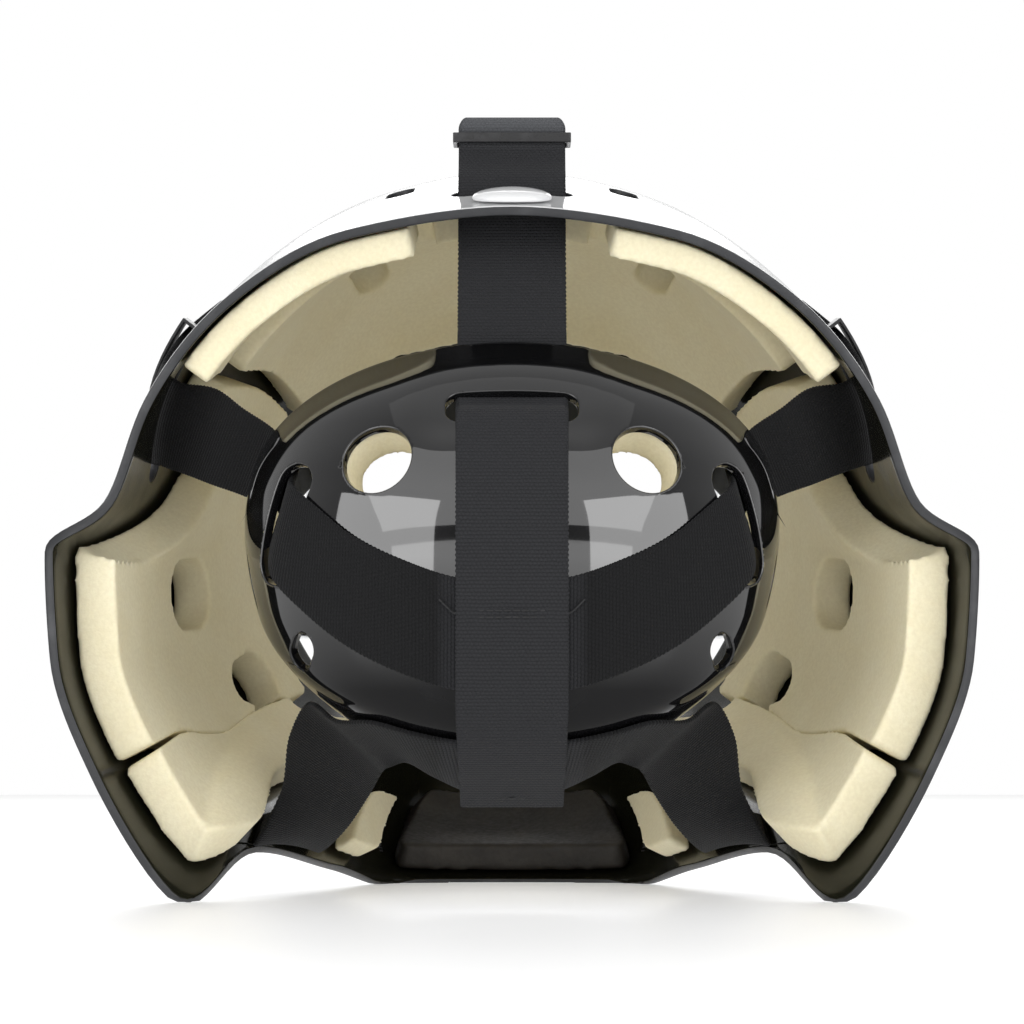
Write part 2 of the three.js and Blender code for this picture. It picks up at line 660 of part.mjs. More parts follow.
function bowed(from, to, bow, sideBow, drop) {
  const a = rimPoint(from);
  const b = rimPoint(to);
  return Array.from({ length: 9 }, (_, i) => {
    const t = i / 8;
    const swell = Math.sin(Math.PI * t) ** 0.6;
    const p = a.clone().lerp(b, t);
    p.y += bow * swell;
    p.x += sideBow * swell;
    p.z += drop * swell;
    return p;
  });
}

function cageShape() {
  let cage = wire(rimPath(), true, 32);
  for (const bar of cageBars) cage = cage.add(wire(bowed(bar.from, bar.to, bar.bow, 0, bar.sag), false, 8));
  both((_, sign) => {
    for (const bar of cageUprights) {
      cage = cage.add(wire(bowed(bar.from * sign, bar.to * sign, bar.bow, bar.sag * sign, 0), false, 6));
    }
  });
  return cage;
}

// Cage clips: rib number, and the screw that each takes.
const cageClips = [
  { name: "upper", rib: 1.35 },
  { name: "side", rib: 4.95 },
  { name: "lower", rib: 8.4 },
];
const clip = { wide: 13, long: 25, tall: 7.4 };
const screw = { radius: 3.4, tall: 1.6 };

function placed(geometry, rib, along, lift) {
  const zAxis = shellNormal(rib, along);
  const forward = shellPoint(rib, Math.min(along + 3, ribLength(rib))).sub(shellPoint(rib, along - 3)).normalize();
  const xAxis = forward.clone().cross(zAxis).normalize();
  const yAxis = zAxis.clone().cross(xAxis);
  const centre = shellAt(rib, along, -lift);
  return geometry.applyMatrix4(new THREE.Matrix4().makeBasis(xAxis, yAxis, zAxis).setPosition(centre));
}

function rimSleeve() {
  const path = new THREE.CatmullRomCurve3(rimPath(), true, "centripetal");
  const section = new THREE.Shape();
  section.absarc(0, 0, wireRadius + 0.45, 0, 2 * Math.PI, false);
  const settings = { steps: 32, extrudePath: path, curveSegments: 3, bevelEnabled: false };
  return solid(new THREE.ExtrudeGeometry(section, settings));
}

const shell = shellShape();
addMesh("shell", geometryOf(shell), "shell");
addMesh("back_plate", geometryOf(plateShape()), "plate");
addMesh("plate_lining", geometryOf(liningShape()), "foam");

for (const pad of pads) {
  both((side, sign) => {
    let shape = padShape(pad);
    if (pad.name === "jaw_pad") {
      for (const hole of earHoles) {
        const forward = shellPoint(hole.rib, hole.along + 4).sub(shellPoint(hole.rib, hole.along - 4));
        const through = shellNormal(hole.rib, hole.along);
        const centre = shellPoint(hole.rib, hole.along);
        shape = shape.subtract(slotTool(centre, forward, through, hole.long, hole.tall, 60));
      }
    }
    addMesh(`${pad.name}_${side}`, geometryOf(shape), "foam", sign < 0);
  });
}

const whole = { ...foreheadPad, fromRib: -foreheadPad.toRib };
let forehead = padShape(whole);
both((_, sign) => {
  for (const vent of crownVents) {
    const at = vent.rib * sign;
    const forward = shellPoint(at, vent.along + 4).sub(shellPoint(at, vent.along - 4));
    const through = shellNormal(at, vent.along);
    forehead = forehead.subtract(slotTool(shellPoint(at, vent.along), forward, through, vent.long + 8, vent.tall + 7, 60));
  }
});
addMesh("forehead_pad", geometryOf(forehead), "foam");

const cup = { ...chinCup, toRib: 2 * lastRib - chinCup.fromRib };
addMesh("chin_cup", geometryOf(padShape(cup)), "cup");

addMesh("crown_strap", crownStrapShape(), "strap");
addMesh("side_strap", sideStrapShape(), "strap");
addMesh("lower_strap", lowerStrapShape(), "strap");

const badge = { radius: 11.7, edge: 1.2, dome: 1.6, along: 12.5, squeeze: 0.72 };
const badgeOutline = [
  [0, 0], [badge.radius, 0], [badge.radius, badge.edge], [badge.radius * 0.9, badge.edge + badge.dome * 0.5],
  [badge.radius * 0.5, badge.edge + badge.dome * 0.9], [0, badge.edge + badge.dome],
].map(([x, y]) => new THREE.Vector2(x, y));
const badgeForm = new THREE.LatheGeometry(badgeOutline, 16).rotateX(Math.PI / 2).scale(1, badge.squeeze, 1);
const badgeBoss = solid(placed(badgeForm, 0, badge.along, 0.1));
addMesh("crown_badge", geometryOf(badgeBoss.subtract(shellSheet(-seat, 6))), "shell");

const sliderBar = 1.4;
const crownLoop = { y: -54.9, z: 230, inside: 12.6 };
addMesh("crown_slider", ringFrame(
  new THREE.Vector3(0, crownLoop.y, crownLoop.z), new THREE.Vector3(1, 0, 0), new THREE.Vector3(0, 0, 1),
  strapWide + 1 + 2 * sliderBar, crownLoop.inside + 2 * sliderBar, sliderBar, 3), "buckle");

const sideLoop = { along: 56, lift: 2.1, tall: 7.8, bar: 1.1, deep: 10 };
const sideLoopRib = sideSlot.rib - 0.3;
const loopUpper = shellPoint(sideLoopRib - sideSlot.halfRibs, sideLoop.along - sideSlot.slant);
const sideLoopWide = loopUpper.sub(shellPoint(sideLoopRib + sideSlot.halfRibs, sideLoop.along + sideSlot.slant));
const sideLoopWay = shellNormal(sideLoopRib, sideLoop.along).cross(sideLoopWide);
const sideRing = ringFrame(
  shellAt(sideLoopRib, sideLoop.along, -sideLoop.lift), sideLoopWide, sideLoopWay,
  strapWide + 8 + 2 * sideLoop.bar, sideLoop.tall, sideLoop.bar, sideLoop.deep);
const sideSlider = geometryOf(solid(sideRing).subtract(shellSheet(-seat - 0.3, shellWall)));
both((side, sign) => addMesh(`side_slider_${side}`, sideSlider, "buckle", sign < 0));

const rivet = { radius: 5, thick: 1.6, along: 15 };
both((side, sign) => {
  const rib = (jawEnd.ribA + jawEnd.ribB) / 2;
  const depth = shellWall + 0.5 + 1.4 + 0.5 + seat + rivet.thick / 2;
  const head = new THREE.CylinderGeometry(rivet.radius, rivet.radius * 0.8, rivet.thick, 14).rotateX(-Math.PI / 2);
  addMesh(`strap_rivet_${side}`, placed(head, rib, rivet.along, -depth), "buckle", sign < 0);
});

addMesh("cage", geometryOf(cageShape()), "steel");
const sleeve = rimSleeve();
for (const row of cageClips) {
  both((side, sign) => {
    const along = ribLength(row.rib) - 14;
    const box = new THREE.BoxGeometry(clip.wide, clip.long, clip.tall);
    const block = solid(placed(box, row.rib, along, clip.tall / 2 + 0.8));
    const seated = block.subtract(sleeve).subtract(shellSheet(-seat - 0.9, shellWall));
    addMesh(`cage_clip_${row.name}_${side}`, geometryOf(seated), "buckle", sign < 0);
    const top = clip.tall + 0.8 + seat + screw.tall / 2;
    const head = new THREE.CylinderGeometry(screw.radius, screw.radius, screw.tall, 8).rotateX(Math.PI / 2);
    addMesh(`cage_screw_${row.name}_${side}`, placed(head, row.rib, along - 6, top), "steel", sign < 0);
  });
}

export default group;
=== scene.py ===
import bpy
import bmesh
from math import asin, cos, degrees, floor, hypot, pi, radians, sin
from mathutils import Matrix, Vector


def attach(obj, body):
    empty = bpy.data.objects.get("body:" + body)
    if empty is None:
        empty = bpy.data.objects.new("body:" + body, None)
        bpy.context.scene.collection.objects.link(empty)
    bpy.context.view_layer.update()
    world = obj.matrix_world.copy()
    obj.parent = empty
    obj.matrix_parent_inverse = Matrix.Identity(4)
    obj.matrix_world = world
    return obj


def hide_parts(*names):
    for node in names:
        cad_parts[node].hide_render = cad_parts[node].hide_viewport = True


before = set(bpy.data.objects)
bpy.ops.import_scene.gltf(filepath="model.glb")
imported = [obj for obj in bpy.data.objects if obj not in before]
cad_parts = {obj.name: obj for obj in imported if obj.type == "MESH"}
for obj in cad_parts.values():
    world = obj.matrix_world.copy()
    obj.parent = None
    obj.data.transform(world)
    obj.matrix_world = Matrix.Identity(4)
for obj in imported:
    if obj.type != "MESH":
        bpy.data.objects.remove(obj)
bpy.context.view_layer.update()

scene = bpy.context.scene
mm = 0.001
print("frame loaded")

# The room
view = {"eye": (0, -1.48525, 0.055), "pitch": 2.44, "lens": 167.4}

camera = bpy.data.objects.new("camera", bpy.data.cameras.new("camera"))
camera.data.lens = view["lens"]
camera.data.sensor_width = 36
camera.data.clip_end = 50
camera.location = view["eye"]
camera.rotation_euler = (radians(90 + view["pitch"]), 0, 0)
scene.collection.objects.link(camera)
scene.camera = camera
scene.view_settings.view_transform = "Standard"

lights = {
    # name: (place, aimed at, width, height, watts)
    "overhead": ((0, -0.35, 1.5), (0, -0.05, 0.1), 1.3, 0.9, 0.8),
    "lowFill": ((0, -1.8, 0.3), (0, 0, 0.12), 2.6, 0.4, 4),
    "softbox": ((0, -1.25, 1.05), (0, -0.1, 0.1), 2.7, 1.25, 12),
    "leftWall": ((-1.1, -1.3, 0.4), (0, 0, 0.12), 1.1, 1.1, 9),
    "rightWall": ((1.1, -1.3, 0.4), (0, 0, 0.12), 1.1, 1.1, 9),
    "behind": ((0, 1.4, 0.9), (0, 0, 0.1), 1.6, 0.8, 9),
}
for name, (place, aim, wide, tall, watts) in lights.items():
    lamp = bpy.data.lights.new(name, "AREA")
    lamp.shape = "RECTANGLE"
    lamp.size, lamp.size_y, lamp.energy = wide, tall, watts
    holder = bpy.data.objects.new(name, lamp)
    holder.location = place
    holder.rotation_euler = (Vector(aim) - Vector(place)).to_track_quat("-Z", "Y").to_euler()
    scene.collection.objects.link(holder)


# Shader helpers
class Wire:
    # one socket, so that shader maths can be written as sums
    def __init__(self, finish, socket):
        self.finish, self.socket = finish, socket

    def maths(self, operation, *values):
        names = {str(i): value for i, value in enumerate(values)}
        return self.finish.node("ShaderNodeMath", {"operation": operation}, names)

    def __add__(self, other): return self.maths("ADD", self, other)
    def __radd__(self, other): return self.maths("ADD", other, self)
    def __sub__(self, other): return self.maths("SUBTRACT", self, other)
    def __rsub__(self, other): return self.maths("SUBTRACT", other, self)
    def __mul__(self, other): return self.maths("MULTIPLY", self, other)
    def __rmul__(self, other): return self.maths("MULTIPLY", other, self)
    def __truediv__(self, other): return self.maths("DIVIDE", self, other)
    def __rtruediv__(self, other): return self.maths("DIVIDE", other, self)
    def __pow__(self, other): return self.maths("POWER", self, other)


class Finish:
    def __init__(self, name):
        self.material = bpy.data.materials.new(name)
        self.material.use_nodes = True
        self.tree = self.material.node_tree
        self.shader = self.tree.nodes["Principled BSDF"]

    def node(self, kind, settings=None, sockets=None, out=0):
        made = self.tree.nodes.new(kind)
        for key, value in (settings or {}).items():
            if key == "stops":
                while len(made.color_ramp.elements) < len(value):
                    made.color_ramp.elements.new(0.5)
                for element, (place, colour) in zip(made.color_ramp.elements, value):
                    element.position, element.color = place, (*colour, 1)
            else:
                setattr(made, key, value)
        for key, value in (sockets or {}).items():
            self.plug(made.inputs[int(key)] if key.isdigit() else made.inputs[key], value)
        return Wire(self, made.outputs[out])

    def plug(self, socket, value):
        if isinstance(value, Wire):
            self.tree.links.new(value.socket, socket)
        elif isinstance(value, tuple) and len(value) == 3 and socket.type == "RGBA":
            socket.default_value = (*value, 1)
        else:
            socket.default_value = value

    def set(self, **values):
        for key, value in values.items():
            name = {"base": "Base Color", "rough": "Roughness", "metal": "Metallic", "coat": "Coat Weight",
                    "coatRough": "Coat Roughness", "coatIor": "Coat IOR",
                    "ior": "IOR", "normal": "Normal", "sheen": "Sheen Weight",
                    "sheenRough": "Sheen Roughness", "sheenTint": "Sheen Tint", "specular": "Specular IOR Level",
                    "subsurface": "Subsurface Weight", "subsurfaceScale": "Subsurface Scale",
                    "subsurfaceRadius": "Subsurface Radius", "glow": "Emission Color",
                    "glowing": "Emission Strength"}[key]
            self.plug(self.shader.inputs[name], value)
        return self.material

    def parts(self, source):
        # the three numbers of a place, a wire for each
        split = self.node("ShaderNodeSeparateXYZ", {}, {"Vector": source})
        return [Wire(self, output) for output in split.socket.node.outputs]

    def place(self, scale=(1, 1, 1), turn=(0, 0, 0), source="Object"):
        coordinates = self.node("ShaderNodeTexCoord", out={"Object": 3, "UV": 2}[source])
        return self.node("ShaderNodeMapping", {}, {"Vector": coordinates, "Scale": scale, "Rotation": turn})

    def grain(self, size, detail=2, where=None, rough=0.5):
        # soft noise from 0 to 1; size is one grain in metres
        sockets = {"Vector": where or self.place(), "Scale": 1 / size, "Detail": detail, "Roughness": rough}
        return self.node("ShaderNodeTexNoise", {}, sockets)

    def blend(self, amount, first, second):
        settings = {"data_type": "RGBA", "clamp_factor": True}
        return self.node("ShaderNodeMix", settings, {"0": amount, "6": first, "7": second}, out=2)

    def remap(self, value, low, high, toLow=0.0, toHigh=1.0):
        sockets = {"Value": value, "From Min": low, "From Max": high, "To Min": toLow, "To Max": toHigh}
        return self.node("ShaderNodeMapRange", {"clamp": True}, sockets)

    def bump(self, height, depth, strength=1.0, normal=None):
        sockets = {"Height": height, "Distance": depth, "Strength": strength}
        if normal:
            sockets["Normal"] = normal
        return self.node("ShaderNodeBump", {}, sockets)


def paintFinish():
    f = Finish("whiteLacquer")
    peel = f.grain(0.0022, 1)
    dust = f.remap(f.grain(0.05, 4), 0.45, 0.7)
    return f.set(base=f.blend(dust, (0.74, 0.744, 0.75), (0.71, 0.714, 0.72)),
                 rough=f.remap(peel, 0.3, 0.7, 0.1, 0.15),
                 coat=0.5, coatRough=0.04, normal=f.bump(peel, 0.00003))


def rimFinish():
    f = Finish("satinRim")
    grain = f.grain(0.0006, 3)
    rub = f.remap(f.grain(0.012, 4), 0.5, 0.75)
    return f.set(base=f.blend(rub, (0.022, 0.023, 0.026), (0.05, 0.051, 0.055)),
                 rough=f.remap(grain, 0.3, 0.7, 0.34, 0.48),
                 normal=f.bump(grain, 0.00008))


def resinFinish():
    f = Finish("shellInside")
    streak = f.grain(0.011, 3)
    return f.set(base=f.blend(streak, (0.007, 0.007, 0.004), (0.013, 0.013, 0.008)),
                 rough=f.remap(streak, 0.3, 0.7, 0.16, 0.26),
                 specular=0.2, coat=0.08, coatRough=0.06, normal=f.bump(f.grain(0.009, 2), 0.00006))


def plateFinish():
    f = Finish("plateGloss")
    peel = f.grain(0.006, 1)
    scuff = f.remap(f.grain(0.02, 5), 0.55, 0.75)
    # the coat fades out towards the plate's foot and thins near its top: painted shade, dimming its reflections there
    _, _, height = f.parts(f.place())
    return f.set(base=f.blend(scuff, (0.0045, 0.0045, 0.005), (0.008, 0.008, 0.009)), specular=0.2,
                 rough=f.remap(scuff, 0, 1, 0.05, 0.09), coatIor=1.9,
                 coat=f.remap(height, 0.062, 0.1, 0.0, 1.0) * f.remap(height, 0.12, 0.14, 1.0, 0.6),
                 coatRough=0.03, normal=f.bump(peel, 0.00004))


def foamFinish(name, light, shade, deep):
    f = Finish(name)
    where = f.place()
    cells = f.node("ShaderNodeTexVoronoi", {"feature": "F1"}, {"Vector": where, "Scale": 1500})
    mottle = f.remap(f.grain(0.018, 4, where), 0.35, 0.7)
    speck = f.remap(f.grain(0.0012, 3, where), 0.35, 0.65)
    colour = f.blend(mottle, light, shade)
    colour = f.blend((1 - speck) * 0.22, colour, deep)
    height = cells * 0.5 + f.grain(0.0035, 3, where) * 1.6
    return f.set(base=colour, rough=0.75, specular=0.35, subsurface=0.12, subsurfaceScale=0.004,
                 subsurfaceRadius=(1.0, 0.8, 0.45), normal=f.bump(height, 0.00006))


def cupFinish():
    f = Finish("cupSkin")
    grain = f.grain(0.0016, 4)
    rub = f.remap(f.grain(0.014, 3), 0.4, 0.75)
    return f.set(base=f.blend(rub, (0.016, 0.013, 0.0105), (0.034, 0.029, 0.024)),
                 rough=f.remap(grain, 0.3, 0.7, 0.5, 0.66),
                 normal=f.bump(grain, 0.0002))


litMiddleBand = {"edge": (0.0175, 0.022), "loop": (0.226, 0.236)}  # in metres: half its width, the rise of its loop


def elasticFinish():
    # staggered rows of knitted loops: U runs across the strap and V along it, both in metres
    f = Finish("knittedElastic")
    cloth = f.node("ShaderNodeTexCoord", out=2)
    across, along, _ = f.parts(cloth)
    drift = f.grain(0.006, 2, cloth) * 0.35
    course = along / 0.00108 + drift
    wale = across / 0.00122 + course.maths("FLOOR", course) * 0.5 + drift
    a = wale.maths("FRACT", wale) * 2 - 1
    b = course.maths("FRACT", course) * 2 - 1
    loop = 1 - (a * a * 0.75 + b * b)
    loop = loop.maths("MAXIMUM", loop, 0.0)
    fuzz = f.grain(0.0003, 3, cloth)
    height = loop ** 0.5 + fuzz * 0.5
    tone = f.remap(f.grain(0.012, 3, cloth), 0.35, 0.7)
    # painted shade: the knit darkens down into the pits between its loops and is palest on the loop tops
    colour = f.blend(f.remap(height, 0.25, 1.3), (0.0016, 0.0016, 0.0019), (0.0135, 0.0137, 0.0155))
    colour = f.blend(tone * 0.25, colour, (0.009, 0.009, 0.0102))
    # painted light and shade: the side bands are darkened as painted shade inside the mask; the middle strap is
    # lightened as painted light from overhead, most of all where its loop stands up, a painted highlight
    sideways, _, up = f.parts(f.place())
    middle = 1 - f.remap(sideways.maths("ABSOLUTE", sideways), *litMiddleBand["edge"])
    colour = f.blend((1 - middle) * 0.55, colour, (0.0008, 0.0008, 0.001))
    colour = f.blend(middle * 0.3, colour, (0.045, 0.046, 0.051))
    colour = f.blend(middle * f.remap(up, *litMiddleBand["loop"]) * 0.7, colour, (0.13, 0.135, 0.145))
    return f.set(base=colour, rough=0.88, specular=0.3, sheen=0.04, sheenRough=0.4, sheenTint=(0.85, 0.87, 0.92),
                 normal=f.bump(height, 0.00028))


def plasticFinish(name, colour, rough, depth):
    f = Finish(name)
    grain = f.grain(0.0005, 3)
    worn = f.remap(f.grain(0.006, 4), 0.55, 0.8)
    paler = tuple(c * 2.2 + 0.01 for c in colour)
    return f.set(base=f.blend(worn, colour, paler), rough=f.remap(grain, 0.3, 0.7, rough - 0.06, rough + 0.08),
                 normal=f.bump(grain, depth))


def badgeFinish():
    f = Finish("badgeGloss")
    peel = f.grain(0.003, 1)
    return f.set(base=f.blend(f.grain(0.01, 2), (0.83, 0.835, 0.84), (0.8, 0.8, 0.81)),
                 rough=f.remap(peel, 0.3, 0.7, 0.08, 0.12), coat=0.4, coatRough=0.03, normal=f.bump(peel, 0.00003))


def steelFinish(name, colour, rough):
    f = Finish(name)
    haze = f.grain(0.004, 3)
    pits = f.grain(0.0008, 2)
    return f.set(base=f.blend(haze, colour, tuple(c * 0.86 for c in colour)), metal=1.0,
                 rough=f.remap(haze, 0.3, 0.7, rough, rough + 0.1), normal=f.bump(pits, 0.00002))


whiteLacquer, satinRim, shellInside = paintFinish(), rimFinish(), resinFinish()
plateGloss = plateFinish()
foamSkin = foamFinish("foamSkin", (0.9, 0.83, 0.6), (0.87, 0.79, 0.55), (0.66, 0.57, 0.36))
cupSkin = cupFinish()
knittedElastic = elasticFinish()
buckleBlack = plasticFinish("buckleBlack", (0.012, 0.012, 0.013), 0.32, 0.00004)
clipBlack = plasticFinish("clipBlack", (0.016, 0.016, 0.018), 0.5, 0.00009)
badgeGloss = badgeFinish()
cageSteel = steelFinish("cageSteel", (0.78, 0.79, 0.8), 0.12)
rivetSteel = steelFinish("rivetSteel", (0.62, 0.62, 0.62), 0.28)
threadBlack = plasticFinish("threadBlack", (0.01, 0.01, 0.011), 0.6, 0.00003)
print("finishes made")

# The two surfaces that everything lies on
# Ribs over the shell, in mm: the free edge, three points on the way and the face opening.
shellForm = {
    "forward": 14.75, "wall": 2.9,
    "ribs": [
        [(0, -100, 205), (0, -45, 220), (0, 15, 228), (0, 72, 207), (0, 104, 152)],
        [(49, -100, 198), (48, -45, 211), (47, 15, 218), (42, 72, 196), (38, 99, 147)],
        [(86, -98, 177), (84, -45, 186), (80, 15, 190), (68, 66, 173), (62, 90, 137)],
        [(109, -94, 148), (106, -45, 153), (100, 10, 155), (87, 56, 147), (75, 84, 122)],
        [(121, -92, 118), (113, -48, 122), (105, 8, 124), (91, 55, 120), (77, 81, 104)],
        [(138, -97, 103), (125, -50, 104), (108, 5, 106), (92, 53, 104), (76, 79, 88)],
        [(136, -100, 71), (124, -50, 74), (106, 5, 79), (89, 53, 85), (70, 82, 74)],
        [(123.5, -100, 36), (112, -53, 42), (96, 2, 50), (79, 52, 62), (60, 88, 62)],
        [(96, -99, -1.5), (92, -55, 24), (83, -4, 38), (70, 45, 47), (50, 94, 55)],
        [(78, -52, 13), (75, -20, 26), (69, 18, 34), (59, 58, 42), (42, 99, 52)],
        [(58, 10, 6), (57, 34, 15), (54, 62, 25), (46, 88, 36), (32, 106, 51)],
        [(38, 62, -1.5), (39, 82, 6), (37, 99, 17), (32, 110, 33), (21, 111, 50)],
        [(0, 66, -1.5), (0, 90, 5), (0, 111, 17), (0, 121, 33), (0, 116, 50)],
    ],
}
# Rows down the back plate, in mm: middle y, middle z, side x, side y, side z, and how the row climbs.
plateForm = {
    "wall": 3,
    "rows": [
        (-106, 164.5, 77.5, -98, 119, 1), (-126, 152, 78.5, -97, 115, 1), (-141, 133, 79, -96.5, 111, 1),
        (-148, 110, 79, -96, 107, 1), (-149.5, 88, 78.5, -96, 103, 1), (-148, 67, 77.5, -96, 98, 1),
        (-141, 51, 76, -96, 93, 1), (-124, 40, 74.5, -95, 89, 0.8), (-106, 30, 73, -94, 86, 0.62),
    ],
}


def monotone(knots, values, at):
    # cubic through every knot that never overshoots
    last = len(knots) - 1
    k = 0
    while k < last - 1 and at > knots[k + 1]:
        k += 1

    def slope(i):
        return (values[i + 1] - values[i]) / (knots[i + 1] - knots[i])

    def tangent(i):
        if i == 0:
            return slope(0)
        if i == last:
            return slope(last - 1)
        before, after = slope(i - 1), slope(i)
        return 0 if before * after <= 0 else 2 * before * after / (before + after)

    width = knots[k + 1] - knots[k]
    t = (at - knots[k]) / width
    a, b, m, n = values[k], values[k + 1], tangent(k) * width, tangent(k + 1) * width
    return a + t * (m + t * (3 * (b - a) - 2 * m - n + t * (2 * (a - b) + m + n)))


ribLines = {}


def ribLine(rib):
    key = round(rib, 5)
    if key not in ribLines:
        base = floor(rib)
        knots = [base - 1, base, base + 1, base + 2]
        turn = 2 * (len(shellForm["ribs"]) - 1)
        rows = []
        for knot in knots:
            left = knot % turn > turn / 2
            row = shellForm["ribs"][turn - knot % turn if left else knot % turn]
            rows.append([(-x if left else x, y, z) for x, y, z in row])
        line = [Vector([monotone(knots, [row[s][axis] for row in rows], rib) for axis in range(3)]) for s in range(5)]
        lengths = [0]
        for a, b in zip(line, line[1:]):
            lengths.append(lengths[-1] + (b - a).length)
        ribLines[key] = line, lengths
    return ribLines[key]


def ribLength(rib):
    return ribLine(rib)[1][-1]


def shellPoint(rib, along):
    line, lengths = ribLine(rib)
    return Vector([monotone(lengths, [p[axis] for p in line], along) for axis in range(3)])


def shellNormal(rib, along):
    acrossWay = shellPoint(rib + 0.04, along) - shellPoint(rib - 0.04, along)
    high, low = min(along + 1.5, ribLength(rib)), max(along - 1.5, 0)
    return acrossWay.cross(shellPoint(rib, high) - shellPoint(rib, low)).normalized()


def shellAt(rib, along, depth):
    return shellPoint(rib, along) - shellNormal(rib, along) * depth


def platePoint(row, angle):
    knots = range(len(plateForm["rows"]))
    midY, midZ, sideX, sideY, sideZ, bow = [monotone(knots, [r[i] for r in plateForm["rows"]], row) for i in range(6)]
    climb = max(0, 1 - cos(radians(angle)))
    return Vector((sideX * sin(radians(angle)), midY + (sideY - midY) * climb, midZ + (sideZ - midZ) * climb ** bow))


def plateNormal(row, angle):
    last = len(plateForm["rows"]) - 1
    up = platePoint(max(row - 0.08, 0), angle) - platePoint(min(row + 0.08, last), angle)
    turned = max(-86, min(86, angle))
    right = platePoint(row, turned + 2) - platePoint(row, turned - 2)
    return right.cross(up).normalized()


def overPlate(x, z, lift=0):
    # the point of the plate that is seen at x, z from behind, raised by lift
    low, high = 0.0, len(plateForm["rows"]) - 1.0
    for _ in range(30):
        row = (low + high) / 2
        angle = degrees(asin(max(-1, min(1, x / platePoint(row, 90).x))))
        if platePoint(row, angle).z > z:
            low = row
        else:
            high = row
    return platePoint(low, angle) + plateNormal(low, angle) * lift


def inFrame(point):
    return Vector((point.x, point.y + shellForm["forward"], point.z)) * mm


# Mesh helpers
def laidGrid(columns, rows, place):
    # a sheet of quads laid where place(u, v) says, with u and v from 0 to 1 and its UVs in metres
    bm = bmesh.new()
    bmesh.ops.create_grid(bm, x_segments=columns, y_segments=rows, size=1)
    uv = bm.loops.layers.uv.new("cloth")
    for face in bm.faces:
        for loop in face.loops:
            loop[uv].uv = (loop.vert.co.x + 1) / 2, (loop.vert.co.y + 1) / 2
    for v in bm.verts:
        v.co = inFrame(place((v.co.x + 1) / 2, (v.co.y + 1) / 2))
    return bm


heart = Vector((0, 0, 0.1))  # a place inside the mask


def turnOutwards(bm):
    bm.normal_update()
    if sum((f.calc_center_median() - heart).dot(f.normal) * f.calc_area() for f in bm.faces) < 0:
        bmesh.ops.reverse_faces(bm, faces=bm.faces[:])


def punch(bm, hole, fine=2):
    # opens a hole of a rounded outline through the sheet and pulls the cut edge onto the outline
    centre, through = inFrame(hole["centre"]), hole["through"].normalized()
    up = through.cross(hole["wide"]).normalized()
    wide = up.cross(through)
    halfWide, halfTall = hole["long"] / 2 * mm, hole["tall"] / 2 * mm
    corner = min(hole.get("corner", hole["tall"] / 2) * mm, halfWide, halfTall)
    deep = hole.get("deep", 9) * mm

    def outside(co):
        away = co - centre
        if abs(away.dot(through)) > deep:
            return 1
        a, b = abs(away.dot(wide)) - halfWide + corner, abs(away.dot(up)) - halfTall + corner
        return hypot(max(a, 0), max(b, 0)) + min(max(a, b), 0) - corner

    for turn in range(fine):
        near = (0.009, 0.005, 0.003)[turn]
        edges = [e for e in bm.edges if outside((e.verts[0].co + e.verts[1].co) / 2) < near]
        bmesh.ops.subdivide_edges(bm, edges=edges, cuts=1, use_grid_fill=True)
    bm.normal_update()
    gone = [f for f in bm.faces if outside(f.calc_center_median()) < 0]
    bmesh.ops.delete(bm, geom=gone, context="FACES")
    rim = [v for v in bm.verts if v.is_boundary and abs(outside(v.co)) < 0.0045]
    crossed = {f for v in rim if sum(e.is_boundary for e in v.link_edges) > 2 for f in v.link_faces}
    bmesh.ops.delete(bm, geom=list(crossed), context="FACES")
    rim = [v for v in bm.verts if v.is_boundary and abs(outside(v.co)) < 0.0045]
    bm.normal_update()
    step = 0.00002

    def pull(v, normal):
        slopeA = (outside(v.co + wide * step) - outside(v.co - wide * step)) / (2 * step)
        slopeB = (outside(v.co + up * step) - outside(v.co - up * step)) / (2 * step)
        steep = max(slopeA ** 2 + slopeB ** 2, 0.01)
        move = (wide * slopeA + up * slopeB) * (-outside(v.co) / steep)
        v.co += move - through * (move.dot(normal) / (through.dot(normal) or 1))

    normals = [v.normal.copy() for v in rim]
    for turn in range(9):
        for v, normal in zip(rim, normals):
            beside = [e.other_vert(v).co for e in v.link_edges if e.is_boundary]
            if turn > 2 and len(beside) == 2:
                v.co = v.co.lerp((beside[0] + beside[1]) / 2, 0.5)
            pull(v, normal)
    ring = {w for v in rim for e in v.link_edges for w in e.verts if not w.is_boundary}
    for _ in range(4):
        bmesh.ops.smooth_vert(bm, verts=list(ring), factor=0.45, use_axis_x=True, use_axis_y=True, use_axis_z=True)


def pieceFrom(bm, name, materials):
    mesh = bpy.data.meshes.new(name)
    bm.to_mesh(mesh)
    bm.free()
    piece = bpy.data.objects.new(name, mesh)
    scene.collection.objects.link(piece)
    for material in materials:
        mesh.materials.append(material)
    mesh.shade_smooth()
    return piece


def modify(piece, kind, **settings):
    made = piece.modifiers.new(kind.lower(), kind)
    for key, value in settings.items():
        setattr(made, key, value)
    return made


def settle(piece):
    # the modifiers become the mesh
    shaped = piece.evaluated_get(bpy.context.evaluated_depsgraph_get())
    mesh = bpy.data.meshes.new_from_object(shaped, preserve_all_data_layers=True,
                                           depsgraph=bpy.context.evaluated_depsgraph_get())
    piece.modifiers.clear()
    piece.data = mesh
    return piece


def declare(piece, slot, *nodes):
    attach(piece, "root")
    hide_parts(*nodes)
    return piece


